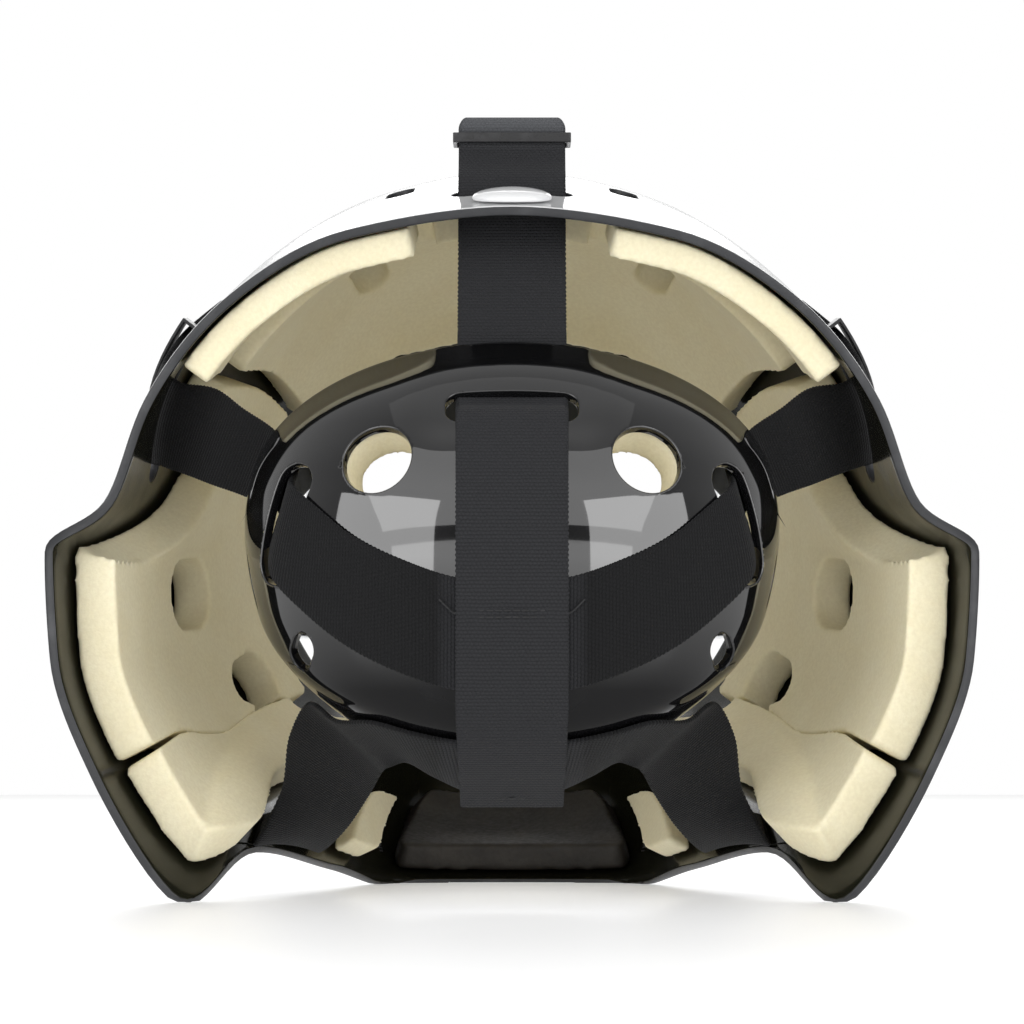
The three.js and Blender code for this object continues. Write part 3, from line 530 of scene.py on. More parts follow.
def curveThrough(points):
    # centripetal curve through the points: 0 to 1 along the whole row
    count = len(points) - 1

    def at(t):
        p = min(int(t * count), count - 1)
        w = t * count - p
        p1, p2 = points[p], points[p + 1]
        p0 = points[p - 1] if p > 0 else p1 * 2 - p2
        p3 = points[p + 2] if p + 2 <= count else p2 * 2 - p1
        d0, d1, d2 = [max((b - a).length, 1e-4) ** 0.5 for a, b in ((p0, p1), (p1, p2), (p2, p3))]
        t1 = ((p1 - p0) / d0 - (p2 - p0) / (d0 + d1) + (p2 - p1) / d1) * d1
        t2 = ((p2 - p1) / d1 - (p3 - p1) / (d1 + d2) + (p3 - p2) / d2) * d1
        return p1 + t1 * w + (p1 * -3 + p2 * 3 - t1 * 2 - t2) * w ** 2 + (p1 * 2 - p2 * 2 + t1 + t2) * w ** 3
    return at


def tubes(wires, radius, resolution):
    # a mesh of round wires; each is a row of points and whether it closes
    data = bpy.data.curves.new("tubes", "CURVE")
    data.dimensions = "3D"
    data.bevel_depth = radius * mm
    data.bevel_resolution = resolution
    data.use_fill_caps = True
    for points, closed in wires:
        ends = points[-2:] + points + points[:3] if closed else points
        path = curveThrough(ends)
        count = (len(ends) - 1) * 7
        places = [path(i / count) for i in range(count + 1)]
        if closed:
            places = places[14:-21]
        spline = data.splines.new("POLY")
        spline.points.add(len(places) - 1)
        for spot, point in zip(spline.points, places):
            spot.co = (*inFrame(point), 1)
        spline.use_cyclic_u = closed
    holder = bpy.data.objects.new("tubes", data)
    scene.collection.objects.link(holder)
    mesh = bpy.data.meshes.new_from_object(holder.evaluated_get(bpy.context.evaluated_depsgraph_get()))
    bpy.data.objects.remove(holder)
    mesh.materials.clear()
    return mesh


def cutAcross(bm, at, way):
    # new edges where a plane meets the mesh
    bmesh.ops.bisect_plane(bm, geom=bm.verts[:] + bm.edges[:] + bm.faces[:], plane_co=at, plane_no=way)


def mirrorX(point, side=-1):
    return Vector((point.x * side, point.y, point.z))


sides = (("left", -1), ("right", 1))

# The hard shell
shellCuts = {
    "crownSlot": {"rib": 0, "along": 27, "long": 36, "tall": 8},
    "sideSlot": {"rib": 3.2, "along": 33, "slant": 7, "half": 0.42, "long": 42, "tall": 11},
    "crownVents": [{"rib": 0.7, "along": 61, "long": 26, "tall": 9},
                   {"rib": 1.25, "along": 128, "long": 30, "tall": 9}],
    "earHoles": [{"rib": 5.5, "along": 83, "long": 32, "tall": 23, "bore": 13},
                 {"rib": 6.75, "along": 120, "long": 30, "tall": 22, "bore": 12}],
    "chinVent": {"rib": 10.62, "along": 26, "wide": 5},
}


def ribHole(rib, along, long, tall, lengthways=True, deep=9, slant=0):
    # a hole by rib number and distance from the edge, its long side forwards or across
    if lengthways:
        wide = shellPoint(rib, along + 4) - shellPoint(rib, along - 4)
    else:
        reach = 0.42 if rib >= 0 else -0.42
        wide = shellPoint(rib - reach, along - slant) - shellPoint(rib + reach, along + slant)
    return {"centre": shellPoint(rib, along), "wide": wide, "through": shellNormal(rib, along), "long": long,
            "tall": tall, "deep": deep}


def makeShell():
    last = len(shellForm["ribs"]) - 1
    perRib, rows = 10, 76

    def place(u, v):
        rib = -last + 2 * last * u
        return shellPoint(rib, ribLength(rib) * v)

    bm = laidGrid(2 * last * perRib, rows, place)
    bmesh.ops.remove_doubles(bm, verts=[v for v in bm.verts if v.is_boundary], dist=0.00001)
    inner = [v for v in bm.verts if not v.is_boundary]
    for _ in range(14):
        bmesh.ops.smooth_vert(bm, verts=inner, factor=0.5, use_axis_x=True, use_axis_y=True, use_axis_z=True)
    turnOutwards(bm)
    slot = shellCuts["crownSlot"]
    punch(bm, ribHole(0, slot["along"], slot["long"], slot["tall"], lengthways=False))
    for _, side in sides:
        slot = shellCuts["sideSlot"]
        punch(bm, ribHole(slot["rib"] * side, slot["along"], slot["long"], slot["tall"], False, slant=slot["slant"]))
        for vent in shellCuts["crownVents"]:
            punch(bm, ribHole(vent["rib"] * side, vent["along"], vent["long"], vent["tall"]))
        for hole in shellCuts["earHoles"]:
            punch(bm, ribHole(hole["rib"] * side, hole["along"], hole["bore"], hole["bore"]))
        vent = shellCuts["chinVent"]
        punch(bm, ribHole(vent["rib"] * side, vent["along"], vent["wide"], vent["wide"]), fine=3)
    shell = pieceFrom(bm, "hardShell", [whiteLacquer, satinRim, shellInside])
    modify(shell, "SOLIDIFY", thickness=shellForm["wall"] * mm, offset=-1, material_offset=2, material_offset_rim=1)
    settle(shell)
    bm = bmesh.new()
    bm.from_mesh(shell.data)
    for v in bm.verts:
        v.co.z = max(v.co.z, 0)
    bm.to_mesh(shell.data)
    bm.free()
    modify(shell, "BEVEL", width=0.0005, segments=2, limit_method="ANGLE", angle_limit=radians(55),
           use_clamp_overlap=False, profile=0.5, material=-1)
    settle(shell).data.shade_smooth()
    for v in shell.data.vertices:
        v.co.z = max(v.co.z, 0)
    return declare(shell, "shell_paint", "shell")


makeShell()
print("shell made")

# The back plate and its lining
plateCuts = {
    "topSlot": {"z": 145.6, "long": 38.5, "tall": 11.5, "corner": 4.5},
    "sideSlot": {"upper": (65.3, 125), "lower": (71.6, 102), "at": (67.1, 110.4),
                 "long": 36, "tall": 13.4, "corner": 6},
    "eyeHole": {"x": 39, "z": 128.6, "wide": 21},
    "smallHole": {"x": 61, "z": 73, "long": 12, "tall": 8.5},
    "recess": {"deep": 2.0, "side": (21, 31), "top": (-163, -147), "foot": (-140, -130)},
}


def smoothStep(value, low, high):
    t = max(0, min(1, (value - low) / (high - low)))
    return t * t * (3 - 2 * t)


def plateHole(x, z, wide, long, tall, corner=None, deep=9, through=None):
    centre = overPlate(x, z)
    return {"centre": centre, "wide": wide, "through": through or centre - overPlate(x, z, -1), "long": long,
            "tall": tall, "corner": corner or tall / 2, "deep": deep}


def makePlate():
    rows = len(plateForm["rows"]) - 1
    recess = plateCuts["recess"]

    def place(u, v):
        # the plate sinks a little round its top slot
        row, angle = rows * (1 - v), -90 + 180 * u
        point = platePoint(row, angle)
        sink = recess["deep"] * (1 - smoothStep(abs(point.x), *recess["side"]))
        sink *= smoothStep(-point.z, *recess["top"]) * (1 - smoothStep(-point.z, *recess["foot"]))
        return point - plateNormal(row, angle) * sink

    bm = laidGrid(150, 120, place)
    inner = [v for v in bm.verts if not v.is_boundary]
    for _ in range(16):
        bmesh.ops.smooth_vert(bm, verts=inner, factor=0.5, use_axis_x=True, use_axis_y=True, use_axis_z=True)
    turnOutwards(bm)
    cut = plateCuts["topSlot"]
    punch(bm, plateHole(0, cut["z"], Vector((1, 0, 0)), cut["long"], cut["tall"], cut["corner"],
                        through=Vector((0, -0.8, 0.6))), fine=1)
    for _, side in sides:
        cut = plateCuts["sideSlot"]
        long = mirrorX(overPlate(*cut["upper"]) - overPlate(*cut["lower"]), side)
        punch(bm, plateHole(cut["at"][0] * side, cut["at"][1], long, cut["long"], cut["tall"], cut["corner"]), fine=1)
        cut = plateCuts["eyeHole"]
        punch(bm, plateHole(cut["x"] * side, cut["z"], Vector((1, 0, 0)), cut["wide"], cut["wide"]), fine=1)
        cut = plateCuts["smallHole"]
        punch(bm, plateHole(cut["x"] * side, cut["z"], Vector((side, 0, -1)), cut["long"], cut["tall"]), fine=1)
    plate = pieceFrom(bm, "backPlate", [plateGloss])
    modify(plate, "SOLIDIFY", thickness=plateForm["wall"] * mm, offset=-1)
    modify(plate, "BEVEL", width=0.00045, segments=3, limit_method="ANGLE", angle_limit=radians(55),
           use_clamp_overlap=False, profile=0.5, material=-1)
    settle(plate).data.shade_smooth()
    return declare(plate, "plate_plastic", "back_plate")


def thicken(bm, thick, calm=12):
    # gives the sheet its thickness inwards; calmed normals keep a thick slab whole round a tight turn
    layer = bm.verts.layers.float_vector.new("inwards")
    bm.normal_update()
    head = inFrame(Vector((0, 0, 100)))  # mid head; a corner that a hole cuts loose may face it
    ways = {v: v.normal * (1 if v.normal.dot(v.co - head) > 0 else -1) for v in bm.verts}
    for _ in range(calm):
        ways = {v: sum((ways[e.other_vert(v)] for e in v.link_edges), ways[v] * 2).normalized() for v in bm.verts}
    for v in bm.verts:
        v[layer] = ways[v]
    made = bmesh.ops.extrude_face_region(bm, geom=bm.faces[:])["geom"]
    for v in made:
        if isinstance(v, bmesh.types.BMVert):
            v.co -= v[layer] * thick
    bmesh.ops.recalc_face_normals(bm, faces=bm.faces[:])


def softSlab(name, place, thick, wide, tall, corner, holes=(), material=foamSkin, voxel=1.0, soften=3):
    # a slab of foam: a sheet with rounded corners, given its thickness, then its edges worn soft
    def rounded(u, v):
        a, b = (u - 0.5) * wide, (v - 0.5) * tall
        pastA, pastB = abs(a) - wide / 2 + corner, abs(b) - tall / 2 + corner
        if pastA > 0 and pastB > 0:
            pull = max(pastA, pastB) / hypot(pastA, pastB)
            a = (wide / 2 - corner + pastA * pull) * (1 if a > 0 else -1)
            b = (tall / 2 - corner + pastB * pull) * (1 if b > 0 else -1)
        return place(a / wide + 0.5, b / tall + 0.5)

    bm = laidGrid(max(6, round(wide / 2.6)), max(6, round(tall / 2.6)), rounded)
    turnOutwards(bm)
    for hole in holes:
        punch(bm, hole, fine=1)
    thicken(bm, thick * mm)
    slab = pieceFrom(bm, name, [material])
    modify(slab, "REMESH", mode="VOXEL", voxel_size=voxel * mm, use_smooth_shade=True)
    modify(slab, "SMOOTH", factor=0.5, iterations=soften)
    settle(slab).data.shade_smooth()
    return slab


seamBend = {"from": 40, "to": 84, "ribs": 0.46}  # the seam between the jaw pads drops on its way forward
padFlare = {"from": 40, "to": 64}  # and the lower jaw pad widens between these distances


def slabOf(name, pad, side=1, holes=(), **extras):
    # a pad that follows the shell's inside, from rib to rib and from near to far off the free edge
    start = shellForm["wall"] + 0.95 + pad["extra"]

    def rib(u, along):
        drop = smoothStep(along, seamBend["from"], seamBend["to"]) * seamBend["ribs"]
        climb = smoothStep(along, pad["near"], pad["riseTo"]) * pad["rise"] if "rise" in pad else 0
        first = pad["fromRib"] - climb + (drop if pad.get("bends") == "start" else 0)
        last = pad["toRib"] + (drop if pad.get("bends") == "end" else 0)
        last += smoothStep(along, padFlare["from"], padFlare["to"]) * pad.get("flare", 0)
        return (first + (last - first) * u) * side

    def place(u, v):
        far = pad["far"] - pad.get("taper", 0) * (2 * u - 1) ** 2
        along = pad["near"] + (far - pad["near"]) * v
        return shellAt(rib(u, along), along, start)

    middle = (pad["near"] + pad["far"]) / 2
    steps = [shellPoint(rib(i / 8, middle), middle) for i in range(9)]
    wide = sum((b - a).length for a, b in zip(steps, steps[1:]))
    return softSlab(name, place, pad["thick"], wide, pad["far"] - pad["near"], pad["corner"], holes, **extras)


makePlate()


def makeLining():
    start = plateForm["wall"] + 0.85
    low, high, reach = 1.75, 5.05, 46

    def place(u, v):
        angle = -reach + 2 * reach * u
        top = low - 0.65 * smoothStep(abs(angle), 13, 24)
        row = high + (top - high) * v
        return platePoint(row, angle) - plateNormal(row, angle) * start

    holes = []
    for _, side in sides:
        cut = plateCuts["eyeHole"]
        wide = cut["wide"] + 0.6
        holes.append(plateHole(cut["x"] * side, cut["z"], Vector((1, 0, 0)), wide, wide, deep=24))
    lining = softSlab("plateLining", place, 10, 122, 96, 9, holes, voxel=0.85)
    return declare(lining, "foam", "plate_lining")


makeLining()
print("back plate made")

# The foam pads
foamPads = {
    "crown_pad": {"fromRib": 0.62, "toRib": 2.6, "near": 4, "far": 44, "thick": 9, "extra": 0.2, "corner": 2},
    "temple_pad": {"fromRib": 2.72, "toRib": 3.45, "near": 52, "far": 150, "thick": 12.7, "extra": 0.3, "corner": 7},
    "jaw_pad": {"fromRib": 4.74, "toRib": 6.97, "near": 15, "far": 150, "thick": 12.7, "extra": 0.2, "corner": 2,
                "rise": 1.08, "riseTo": 85, "bends": "end"},
    "lower_jaw_pad": {"fromRib": 7.04, "toRib": 8.5, "near": 16, "far": 134, "thick": 12.7, "extra": 0.9, "corner": 3,
                      "bends": "start", "flare": 0.44},
    "chin_side_pad": {"fromRib": 9.85, "toRib": 10.25, "near": 8, "far": 60, "thick": 8, "extra": 0.6, "corner": 6},
    "forehead_pad": {"fromRib": -2.5, "toRib": 2.5, "near": 50, "far": 204, "taper": 36, "thick": 12.7, "extra": 1.2,
                     "corner": 3},
    "chin_cup": {"fromRib": 10.9, "toRib": 13.1, "near": 5, "far": 52, "thick": 9, "extra": 0.3, "corner": 10},
}
for padName in ("crown_pad", "temple_pad", "jaw_pad", "lower_jaw_pad", "chin_side_pad"):
    for sideName, side in sides:
        holes = []
        if padName == "jaw_pad":
            for hole in shellCuts["earHoles"]:
                holes.append(ribHole(hole["rib"] * side, hole["along"], hole["long"], hole["tall"], deep=14))
        node = f"{padName}_{sideName}"
        pad = slabOf(node.replace("_", "-"), foamPads[padName], side, holes)
        declare(pad, "foam", node)

holes = []
for _, side in sides:
    for vent in shellCuts["crownVents"]:
        holes.append(ribHole(vent["rib"] * side, vent["along"], vent["long"] + 8, vent["tall"] + 7, deep=14))
pad = slabOf("forehead-pad", foamPads["forehead_pad"], 1, holes)
declare(pad, "foam", "forehead_pad")
pad = slabOf("chin-cup", foamPads["chin_cup"], material=cupSkin, soften=12)
declare(pad, "cup_foam", "chin_cup")
print("pads made")

# The elastic straps
strapForm = {"half": 16, "thick": 1.6, "frill": 0.16}


def outward(lift, thick=strapForm["thick"]):
    return thick / 2 + lift


def row(a, b, m=None):
    return Vector(a), Vector(m or (Vector(a) + Vector(b)) / 2), Vector(b)


def mirrorRows(rows):
    return [tuple(mirrorX(p) for p in r) for r in reversed(rows)]


def makeStrap(name, rows, steps, thick, slot, *nodes):
    lines = [curveThrough([r[i] for r in rows]) for i in range(3)]

    def point(t, v):
        a, m, b = [line(t) for line in lines]
        return a.lerp(b, v) + (m - a.lerp(b, 0.5)) * (4 * v * (1 - v))

    def edged(u, v):
        # the outermost threads stand out in small loops
        frill = strapForm["frill"] / (strapForm["half"] * 2) * (1 if round(v * steps) % 2 else -1)
        return point(v, u + (frill if u > 0.999 else -frill if u < 0.001 else 0))

    bm = laidGrid(10, steps, edged)
    # the cloth map in metres: across the strap, and along its middle line
    reach = [0.0]
    for i in range(steps):
        reach.append(reach[-1] + (point((i + 1) / steps, 0.5) - point(i / steps, 0.5)).length * mm)
    uv = bm.loops.layers.uv["cloth"]
    for face in bm.faces:
        for loop in face.loops:
            u, v = loop[uv].uv
            loop[uv].uv = u * strapForm["half"] * 2 * mm, reach[round(v * steps)]
    strap = pieceFrom(bm, name, [knittedElastic])
    modify(strap, "SOLIDIFY", thickness=thick * mm, offset=0)
    modify(strap, "BEVEL", width=0.0005, segments=2, limit_method="ANGLE", angle_limit=radians(55),
           use_clamp_overlap=False, profile=0.5, material=-1)
    settle(strap).data.shade_smooth()
    return declare(strap, slot, *nodes)


def crownRows():
    def level(y, z, half=strapForm["half"]):
        return row((-half, y, z), (half, y, z))

    def crown(along, lift):
        p = shellAt(0, along, -outward(lift))
        return level(p.y, p.z)

    def plate(z, lift, half=strapForm["half"]):
        p = overPlate(0, z, outward(lift))
        return level(p.y, p.z, half)

    loop = [(-41, 223.6), (-47.5, 224.4), (-50, 228.5), (-50.6, 233, 15.9),
            (-54.3, 236.2, 14.6), (-58.4, 233.6, 15.9), (-59.6, 228.5),
            (-64, 222), (-70.5, 216.8), (-74, 211.5), (-76, 205.5), (-80.5, 197),
            (-89.5, 181), (-96.5, 168), (-101.2, 159.8)]
    down = [(157, -7), (151, -6.4), (147, -5.5), (144.5, -3), (141.5, 0.1), (136.5, 1.6),
            (128, 2.2), (116, 2.9), (100, 3.4),
            (84, 3.4), (70, 3.4), (59, 3.4), (51.5, 3.4, 15.7), (45, 3.6, 15.4), (38.5, 3.6, 15.1), (32.5, 3.6, 15)]
    return [crown(104, 1.2), crown(84, 1.4)] + [level(*p) for p in loop] + [plate(*p) for p in down]


def sideRows():
    def onPlate(x, upper, lower, lift, lowerX=None):
        lowerX = x if lowerX is None else lowerX
        return row(overPlate(x, upper, outward(lift)), overPlate(lowerX, lower, outward(lift)),
                   overPlate((x + lowerX) / 2, (upper + lower) / 2, outward(lift)))

    def onShell(along, depth, lean=0):
        cut = shellCuts["sideSlot"]
        rib, reach, slant = cut["rib"] - lean, cut["half"], cut["slant"]
        return row(shellAt(rib - reach, along - slant, depth), shellAt(rib + reach, along + slant, depth),
                   shellAt(rib, along, depth))

    half = [
        onShell(78, -outward(1.1), 0.6), onShell(66, -outward(1.8), 0.44), onShell(56, -outward(2.4), 0.3),
        onShell(47, -outward(2.2), 0.16), onShell(40, -outward(1.5), 0.06), onShell(33, 1.5), onShell(28, 5.4),
        row((89, -80, 152.5), (98.5, -69, 127.5)), row((80, -87, 146), (89, -80.5, 123.5)),
        row((71.6, -92, 140.3), (79.8, -89.2, 120)),
        row(overPlate(68.3, 134.5, -7), overPlate(74, 114, -7.4)),
        row(overPlate(67.2, 128.5, -6), overPlate(74, 108.5, -5.8)),
        row(overPlate(65.4, 123.8, -2), overPlate(71.6, 102, -2)),
        row(overPlate(62, 120.5, outward(0.8)), overPlate(68, 95, outward(0.8)),
            overPlate(65.3, 108.5, outward(0.9))),
        onPlate(55.5, 114.5, 84, 0.7, 58), onPlate(45, 106, 74.5, 0.5, 46), onPlate(32, 99.5, 67.5, 0.5),
        onPlate(16, 94, 62.5, 0.5),
    ]
    return half + [onPlate(0, 92.5, 61, 0.5)] + mirrorRows(half)


def lowerRows():
    end = (8.8, 9.62)
    inner = shellForm["wall"] + outward(0.8)

    def inJaw(along, depth):
        return row(shellAt(end[0], along, depth), shellAt(end[1], along, depth), shellAt(sum(end) / 2, along, depth))

    def under(x, upper, lower, lowerX=None):
        lowerX = x if lowerX is None else lowerX
        return row(overPlate(x, upper, outward(0.6)), overPlate(lowerX, lower, outward(0.6)),
                   overPlate((x + lowerX) / 2, (upper + lower) / 2, outward(0.6)))

    half = [
        inJaw(26, inner), inJaw(13, inner), inJaw(3, inner + 1.2),
        row((69.6, -66.5, 31.5), (50, -52, 21)), row((66, -84, 49), (42.5, -73, 31.5)),
        row((60, -96.5, 58.5), (38.5, -90, 38)), row((51.5, -112, 53.5), (35.5, -104, 40)),
        under(39, 54, 42.6, 30), under(28, 51, 38.4, 22), under(15, 48.5, 34, 12),
    ]
    return half + [under(0, 47.5, 32.3)] + mirrorRows(half)


stitching = {
    "radius": 0.3, "long": 1.7, "every": 2.3, "raised": 0.22,
    "rows": [(82.8, 14.4, 5.0), (84.6, 14.4, 5.0), (41.5, 13.4, 5.2), (35.6, 13.4, 5.2)],  # z, half width, lift
    "corners": [(13.3, 95, 5.0), (13.3, 92, 5.0)],
    "tail": [(14.2, 83.4, 5.0), (16.2, 84.2, 3.9), (18.0, 85.6, 2.8), (20.2, 87.8, 2.7)],
}


def sew(strap):
    # rows of stitches across the strap where it is sewn, and the two ends of their thread
    wires = []
    for z, half, lift in stitching["rows"]:
        count = int(2 * half / stitching["every"])
        for i in range(count):
            x = -half + (i + 0.5) * 2 * half / count
            reach = stitching["long"] / 2
            wires.append(([overPlate(x - reach, z, lift - 0.1), overPlate(x, z, lift + stitching["raised"]),
                           overPlate(x + reach, z, lift - 0.1)], False))
    for _, side in sides:
        for x, z, lift in stitching["corners"]:
            wires.append(([overPlate(x * side, z - 0.9, lift - 0.1),
                           overPlate(x * side, z, lift + stitching["raised"]),
                           overPlate(x * side, z + 0.9, lift - 0.1)], False))
        wires.append(([overPlate(x * side, z, lift) for x, z, lift in stitching["tail"]], False))
    bm = bmesh.new()
    bm.from_mesh(strap.data)
    cloth = len(bm.faces)
    bm.from_mesh(tubes(wires, stitching["radius"], 2))
    bm.faces.ensure_lookup_table()
    for face in bm.faces[cloth:]:
        face.material_index = 1
        face.smooth = True
    bm.to_mesh(strap.data)
    bm.free()
    strap.data.materials.append(threadBlack)


sew(makeStrap("crown-strap", crownRows(), 700, strapForm["thick"], "elastic", "crown_strap"))
makeStrap("side-strap", sideRows(), 800, strapForm["thick"], "elastic", "side_strap")
makeStrap("lower-strap", lowerRows(), 500, 1.4, "elastic", "lower_strap")
print("straps made")

# The wire cage
cageForm = {
    "radius": 2.1, "lift": 4.05, "inset": 9,
    "bars": [(-4.35, 4.35, 38, 0, -6), (-5.55, 5.55, 37, 0, -2), (-7.1, 7.1, 30, 0, 0)],
    "uprights": [(2.1, 9.4, 17, 5), (0.55, 10.9, 14, -4)],
}


def rimPoint(rib):
    return shellAt(rib, ribLength(rib) - cageForm["inset"], -cageForm["lift"])


def bowedBar(start, end, bow, sideBow, drop):
    a, b = rimPoint(start), rimPoint(end)
    points = []
    for i in range(9):
        swell = sin(pi * i / 8) ** 0.6
        points.append(a.lerp(b, i / 8) + Vector((sideBow, bow, drop)) * swell)
    return points


def makeCage():
    wires = [([rimPoint(-12 + 24 * i / 44) for i in range(44)], True)]
    wires += [(bowedBar(*bar), False) for bar in cageForm["bars"]]
    for _, side in sides:
        wires += [(bowedBar(start * side, end * side, bow, lean * side, 0), False)
                  for start, end, bow, lean in cageForm["uprights"]]
    cage = bpy.data.objects.new("faceCage", tubes(wires, cageForm["radius"], 5))
    scene.collection.objects.link(cage)
    cage.data.materials.append(cageSteel)
    cage.data.shade_smooth()
    return declare(cage, "cage_steel", "cage")


makeCage()
print("cage made")

# Badge, sliders, clips and screws
smallParts = {
    "badge": {"radius": 11.7, "along": 12.5, "squeeze": 0.72,
              "rings": [(11.5, 0.1), (11.7, 0.5), (11.6, 1.1), (11.1, 1.6), (9.6, 2.1), (7, 2.5), (3.6, 2.75)]},
    "crownSlider": {"y": -54.9, "z": 230, "wide": 35.8, "tall": 15.4, "bar": 1.4, "thick": 3},
    "sideSlider": {"rib": 2.9, "along": 56, "wide": 39.5, "tall": 5.4, "bar": 1.0, "deep": 10,
                   "lift": 3.2, "slant": 0.48},
    "clip": {"wide": 13, "long": 25, "tall": 7.4, "lift": 0.8, "ribs": {"upper": 1.35, "side": 4.95, "lower": 8.4}},
    "screw": {"lift": 8.55, "rings": [(3.4, 0), (3.4, 0.7), (3.2, 1.15), (2.7, 1.5), (2.0, 1.6)], "recess": 1.25},
    "rivet": {"along": 15, "depth": 6.05,
              "rings": [(4, 0), (4.9, 0.15), (5, 0.6), (4.6, 1.2), (3.4, 1.55), (1.6, 1.6)]},
}


def laidOnShell(bm, rib, along, lift=0.0, turned=1, slant=0.0):
    # x runs across the ribs, y forwards and z out of the shell, in mm
    perRib = (shellPoint(rib + 0.2, along) - shellPoint(rib - 0.2, along)).length / 0.4 * hypot(1, slant)
    for v in bm.verts:
        x, y, z = v.co
        v.co = inFrame(shellAt(rib + x / perRib, along + y + x * slant, -(z * turned + lift)))
    bmesh.ops.recalc_face_normals(bm, faces=bm.faces[:])


def ringStack(rings, sides=32, recess=None):
    # circles one above the other, bridged into a closed turned form
    bm = bmesh.new()
    loops = []
    for radius, height in rings:
        made = bmesh.ops.create_circle(bm, segments=sides, radius=radius)["verts"]
        bmesh.ops.translate(bm, verts=made, vec=(0, 0, height))
        loops.append(list(dict.fromkeys(e for v in made for e in v.link_edges)))
    for below, above in zip(loops, loops[1:]):
        bmesh.ops.bridge_loops(bm, edges=below + above)
    bmesh.ops.contextual_create(bm, geom=loops[0])
    top = loops[-1]
    if recess:
        height = rings[-1][1]
        for radius, drop, count in ((recess, 0, 6), (recess * 0.96, 0.9, 6)):
            made = bmesh.ops.create_circle(bm, segments=count, radius=radius)["verts"]
            bmesh.ops.translate(bm, verts=made, vec=(0, 0, height - drop))
            inner = list(dict.fromkeys(e for v in made for e in v.link_edges))
            bmesh.ops.bridge_loops(bm, edges=top + inner)
            top = inner
    bmesh.ops.contextual_create(bm, geom=top)
    bmesh.ops.recalc_face_normals(bm, faces=bm.faces[:])
    return bm


def ringBar(wide, tall, bar, deep, cuts=12):
    # a rectangular ring in x and z with soft edges, its window along y
    bm = bmesh.new()
    bmesh.ops.create_grid(bm, x_segments=3, y_segments=3, size=1)
    for v in bm.verts:
        for axis, size in ((0, wide), (1, tall)):
            outer = abs(v.co[axis]) > 0.9
            v.co[axis] = (size / 2 - (0 if outer else bar)) * (1 if v.co[axis] > 0 else -1)
    middle = min(bm.faces, key=lambda f: f.calc_center_median().length)
    bmesh.ops.delete(bm, geom=[middle], context="FACES")
    made = bmesh.ops.extrude_face_region(bm, geom=bm.faces[:])["geom"]
    bmesh.ops.translate(bm, verts=[g for g in made if isinstance(g, bmesh.types.BMVert)], vec=(0, 0, deep))
    bmesh.ops.recalc_face_normals(bm, faces=bm.faces[:])
    sharp = [e for e in bm.edges if len(e.link_faces) == 2 and e.calc_face_angle() > 0.8]
    bmesh.ops.bevel(bm, geom=sharp, offset=min(bar, 1) * 0.3, segments=3, affect="EDGES", profile=0.5, material=-1)
    for i in range(1, cuts):
        place = -wide / 2 + wide * i / cuts
        cutAcross(bm, (place, 0, 0), (1, 0, 0))
    for v in bm.verts:
        v.co = v.co.x, v.co.z - deep / 2, v.co.y
    bmesh.ops.recalc_face_normals(bm, faces=bm.faces[:])
    return bm


badge = smallParts["badge"]
bm = ringStack(badge["rings"], 64)
bmesh.ops.scale(bm, verts=bm.verts, vec=(1, badge["squeeze"], 1))
laidOnShell(bm, 0, badge["along"], 0.35)
declare(pieceFrom(bm, "crown-badge", [badgeGloss]), "badge_plastic", "crown_badge")

slider = smallParts["crownSlider"]
bm = ringBar(slider["wide"], slider["tall"], slider["bar"], slider["thick"])
for v in bm.verts:
    v.co = inFrame(Vector((v.co.x, slider["y"] + v.co.z, slider["z"] + v.co.y)))
bmesh.ops.recalc_face_normals(bm, faces=bm.faces[:])
declare(pieceFrom(bm, "crown-slider", [buckleBlack]), "buckle_plastic", "crown_slider")

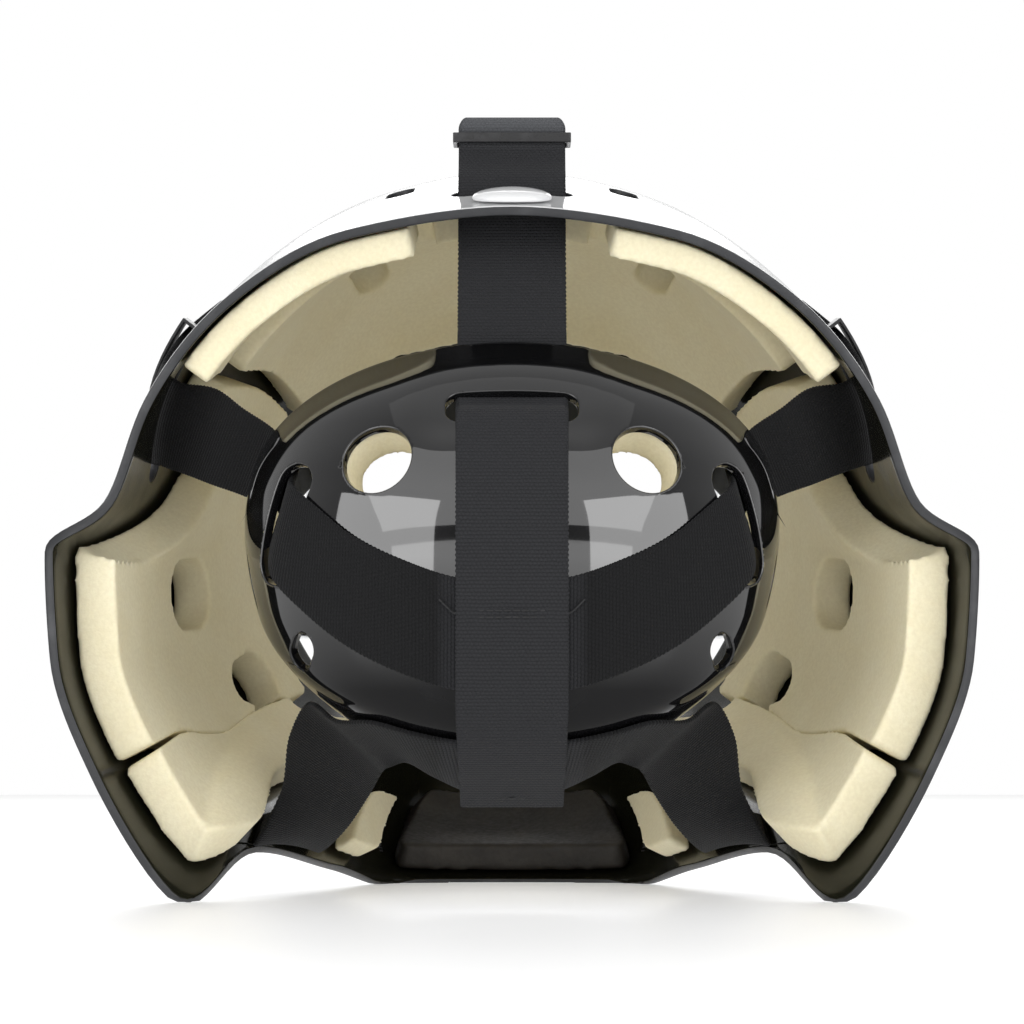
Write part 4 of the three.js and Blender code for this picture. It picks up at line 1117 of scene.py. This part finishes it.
for sideName, side in sides:
    slider = smallParts["sideSlider"]
    bm = ringBar(slider["wide"], slider["tall"], slider["bar"], slider["deep"])
    laidOnShell(bm, slider["rib"] * side, slider["along"], slider["lift"], slant=slider["slant"] * side)
    declare(pieceFrom(bm, f"side-slider-{sideName}", [buckleBlack]), "buckle_plastic", f"side_slider_{sideName}")

    rivet = smallParts["rivet"]
    bm = ringStack(rivet["rings"])
    laidOnShell(bm, 9.21 * side, rivet["along"], -rivet["depth"], turned=-1)
    declare(pieceFrom(bm, f"strap-rivet-{sideName}", [rivetSteel]), "rivet_steel", f"strap_rivet_{sideName}")

    clip, screw = smallParts["clip"], smallParts["screw"]
    for place, rib in clip["ribs"].items():
        along = ribLength(rib) - 14
        bm = bmesh.new()
        bmesh.ops.create_cube(bm, size=1)
        bmesh.ops.scale(bm, verts=bm.verts, vec=(clip["wide"], clip["long"], clip["tall"]))
        upright = [e for e in bm.edges if abs(e.verts[0].co.z - e.verts[1].co.z) > 1]
        bmesh.ops.bevel(bm, geom=upright, offset=3, segments=5, affect="EDGES", profile=0.5, material=-1)
        top = [f for f in bm.faces if f.normal.z > 0.9]
        bmesh.ops.bevel(bm, geom=list(dict.fromkeys(e for f in top for e in f.edges)), offset=1.2,
                        segments=4, affect="EDGES", profile=0.5, material=-1)
        for i in range(-3, 4):
            cutAcross(bm, (0, i * 3, 0), (0, 1, 0))
        laidOnShell(bm, rib * side, along, clip["lift"] + clip["tall"] / 2)
        piece = pieceFrom(bm, f"cage-clip-{place}-{sideName}", [clipBlack])
        declare(piece, "clip_plastic", f"cage_clip_{place}_{sideName}")
        bm = ringStack(screw["rings"], 24, screw["recess"])
        laidOnShell(bm, rib * side, along - 6, screw["lift"])
        piece = pieceFrom(bm, f"cage-screw-{place}-{sideName}", [rivetSteel])
        declare(piece, "rivet_steel", f"cage_screw_{place}_{sideName}")
print("small parts made")

# Floor and light
floorMesh = bmesh.new()
bmesh.ops.create_grid(floorMesh, x_segments=1, y_segments=1, size=1.8)
floorFinish = Finish("paleFloor")
paleFloor = floorFinish.set(base=floorFinish.blend(floorFinish.grain(0.5, 2), (0.8, 0.8, 0.8), (0.82, 0.82, 0.82)),
                             rough=0.35,
                            glow=(1.0, 1.0, 1.0), glowing=0.35)
ground = pieceFrom(floorMesh, "floor", [paleFloor])

world = bpy.data.worlds.new("studio")
world.use_nodes = True
sky = world.node_tree.nodes
skyLinks = world.node_tree.links
background = sky["Background"]
path, mix, ramp, coordinate, split = [sky.new(kind) for kind in (
    "ShaderNodeLightPath", "ShaderNodeMix", "ShaderNodeMapRange", "ShaderNodeTexCoord", "ShaderNodeSeparateXYZ")]
mix.data_type = "RGBA"
skyLinks.new(coordinate.outputs["Generated"], split.inputs[0])
skyLinks.new(split.outputs["Y"], ramp.inputs["Value"])
ramp.inputs["From Min"].default_value, ramp.inputs["From Max"].default_value = -0.7, 0.5
ramp.inputs["To Min"].default_value, ramp.inputs["To Max"].default_value = 0.12, 0.7
skyLinks.new(path.outputs["Is Camera Ray"], mix.inputs["Factor"])
skyLinks.new(ramp.outputs["Result"], mix.inputs[6])
mix.inputs[7].default_value = (1, 1, 1, 1)
skyLinks.new(mix.outputs[2], background.inputs["Color"])
background.inputs["Strength"].default_value = 1.0
scene.world = world
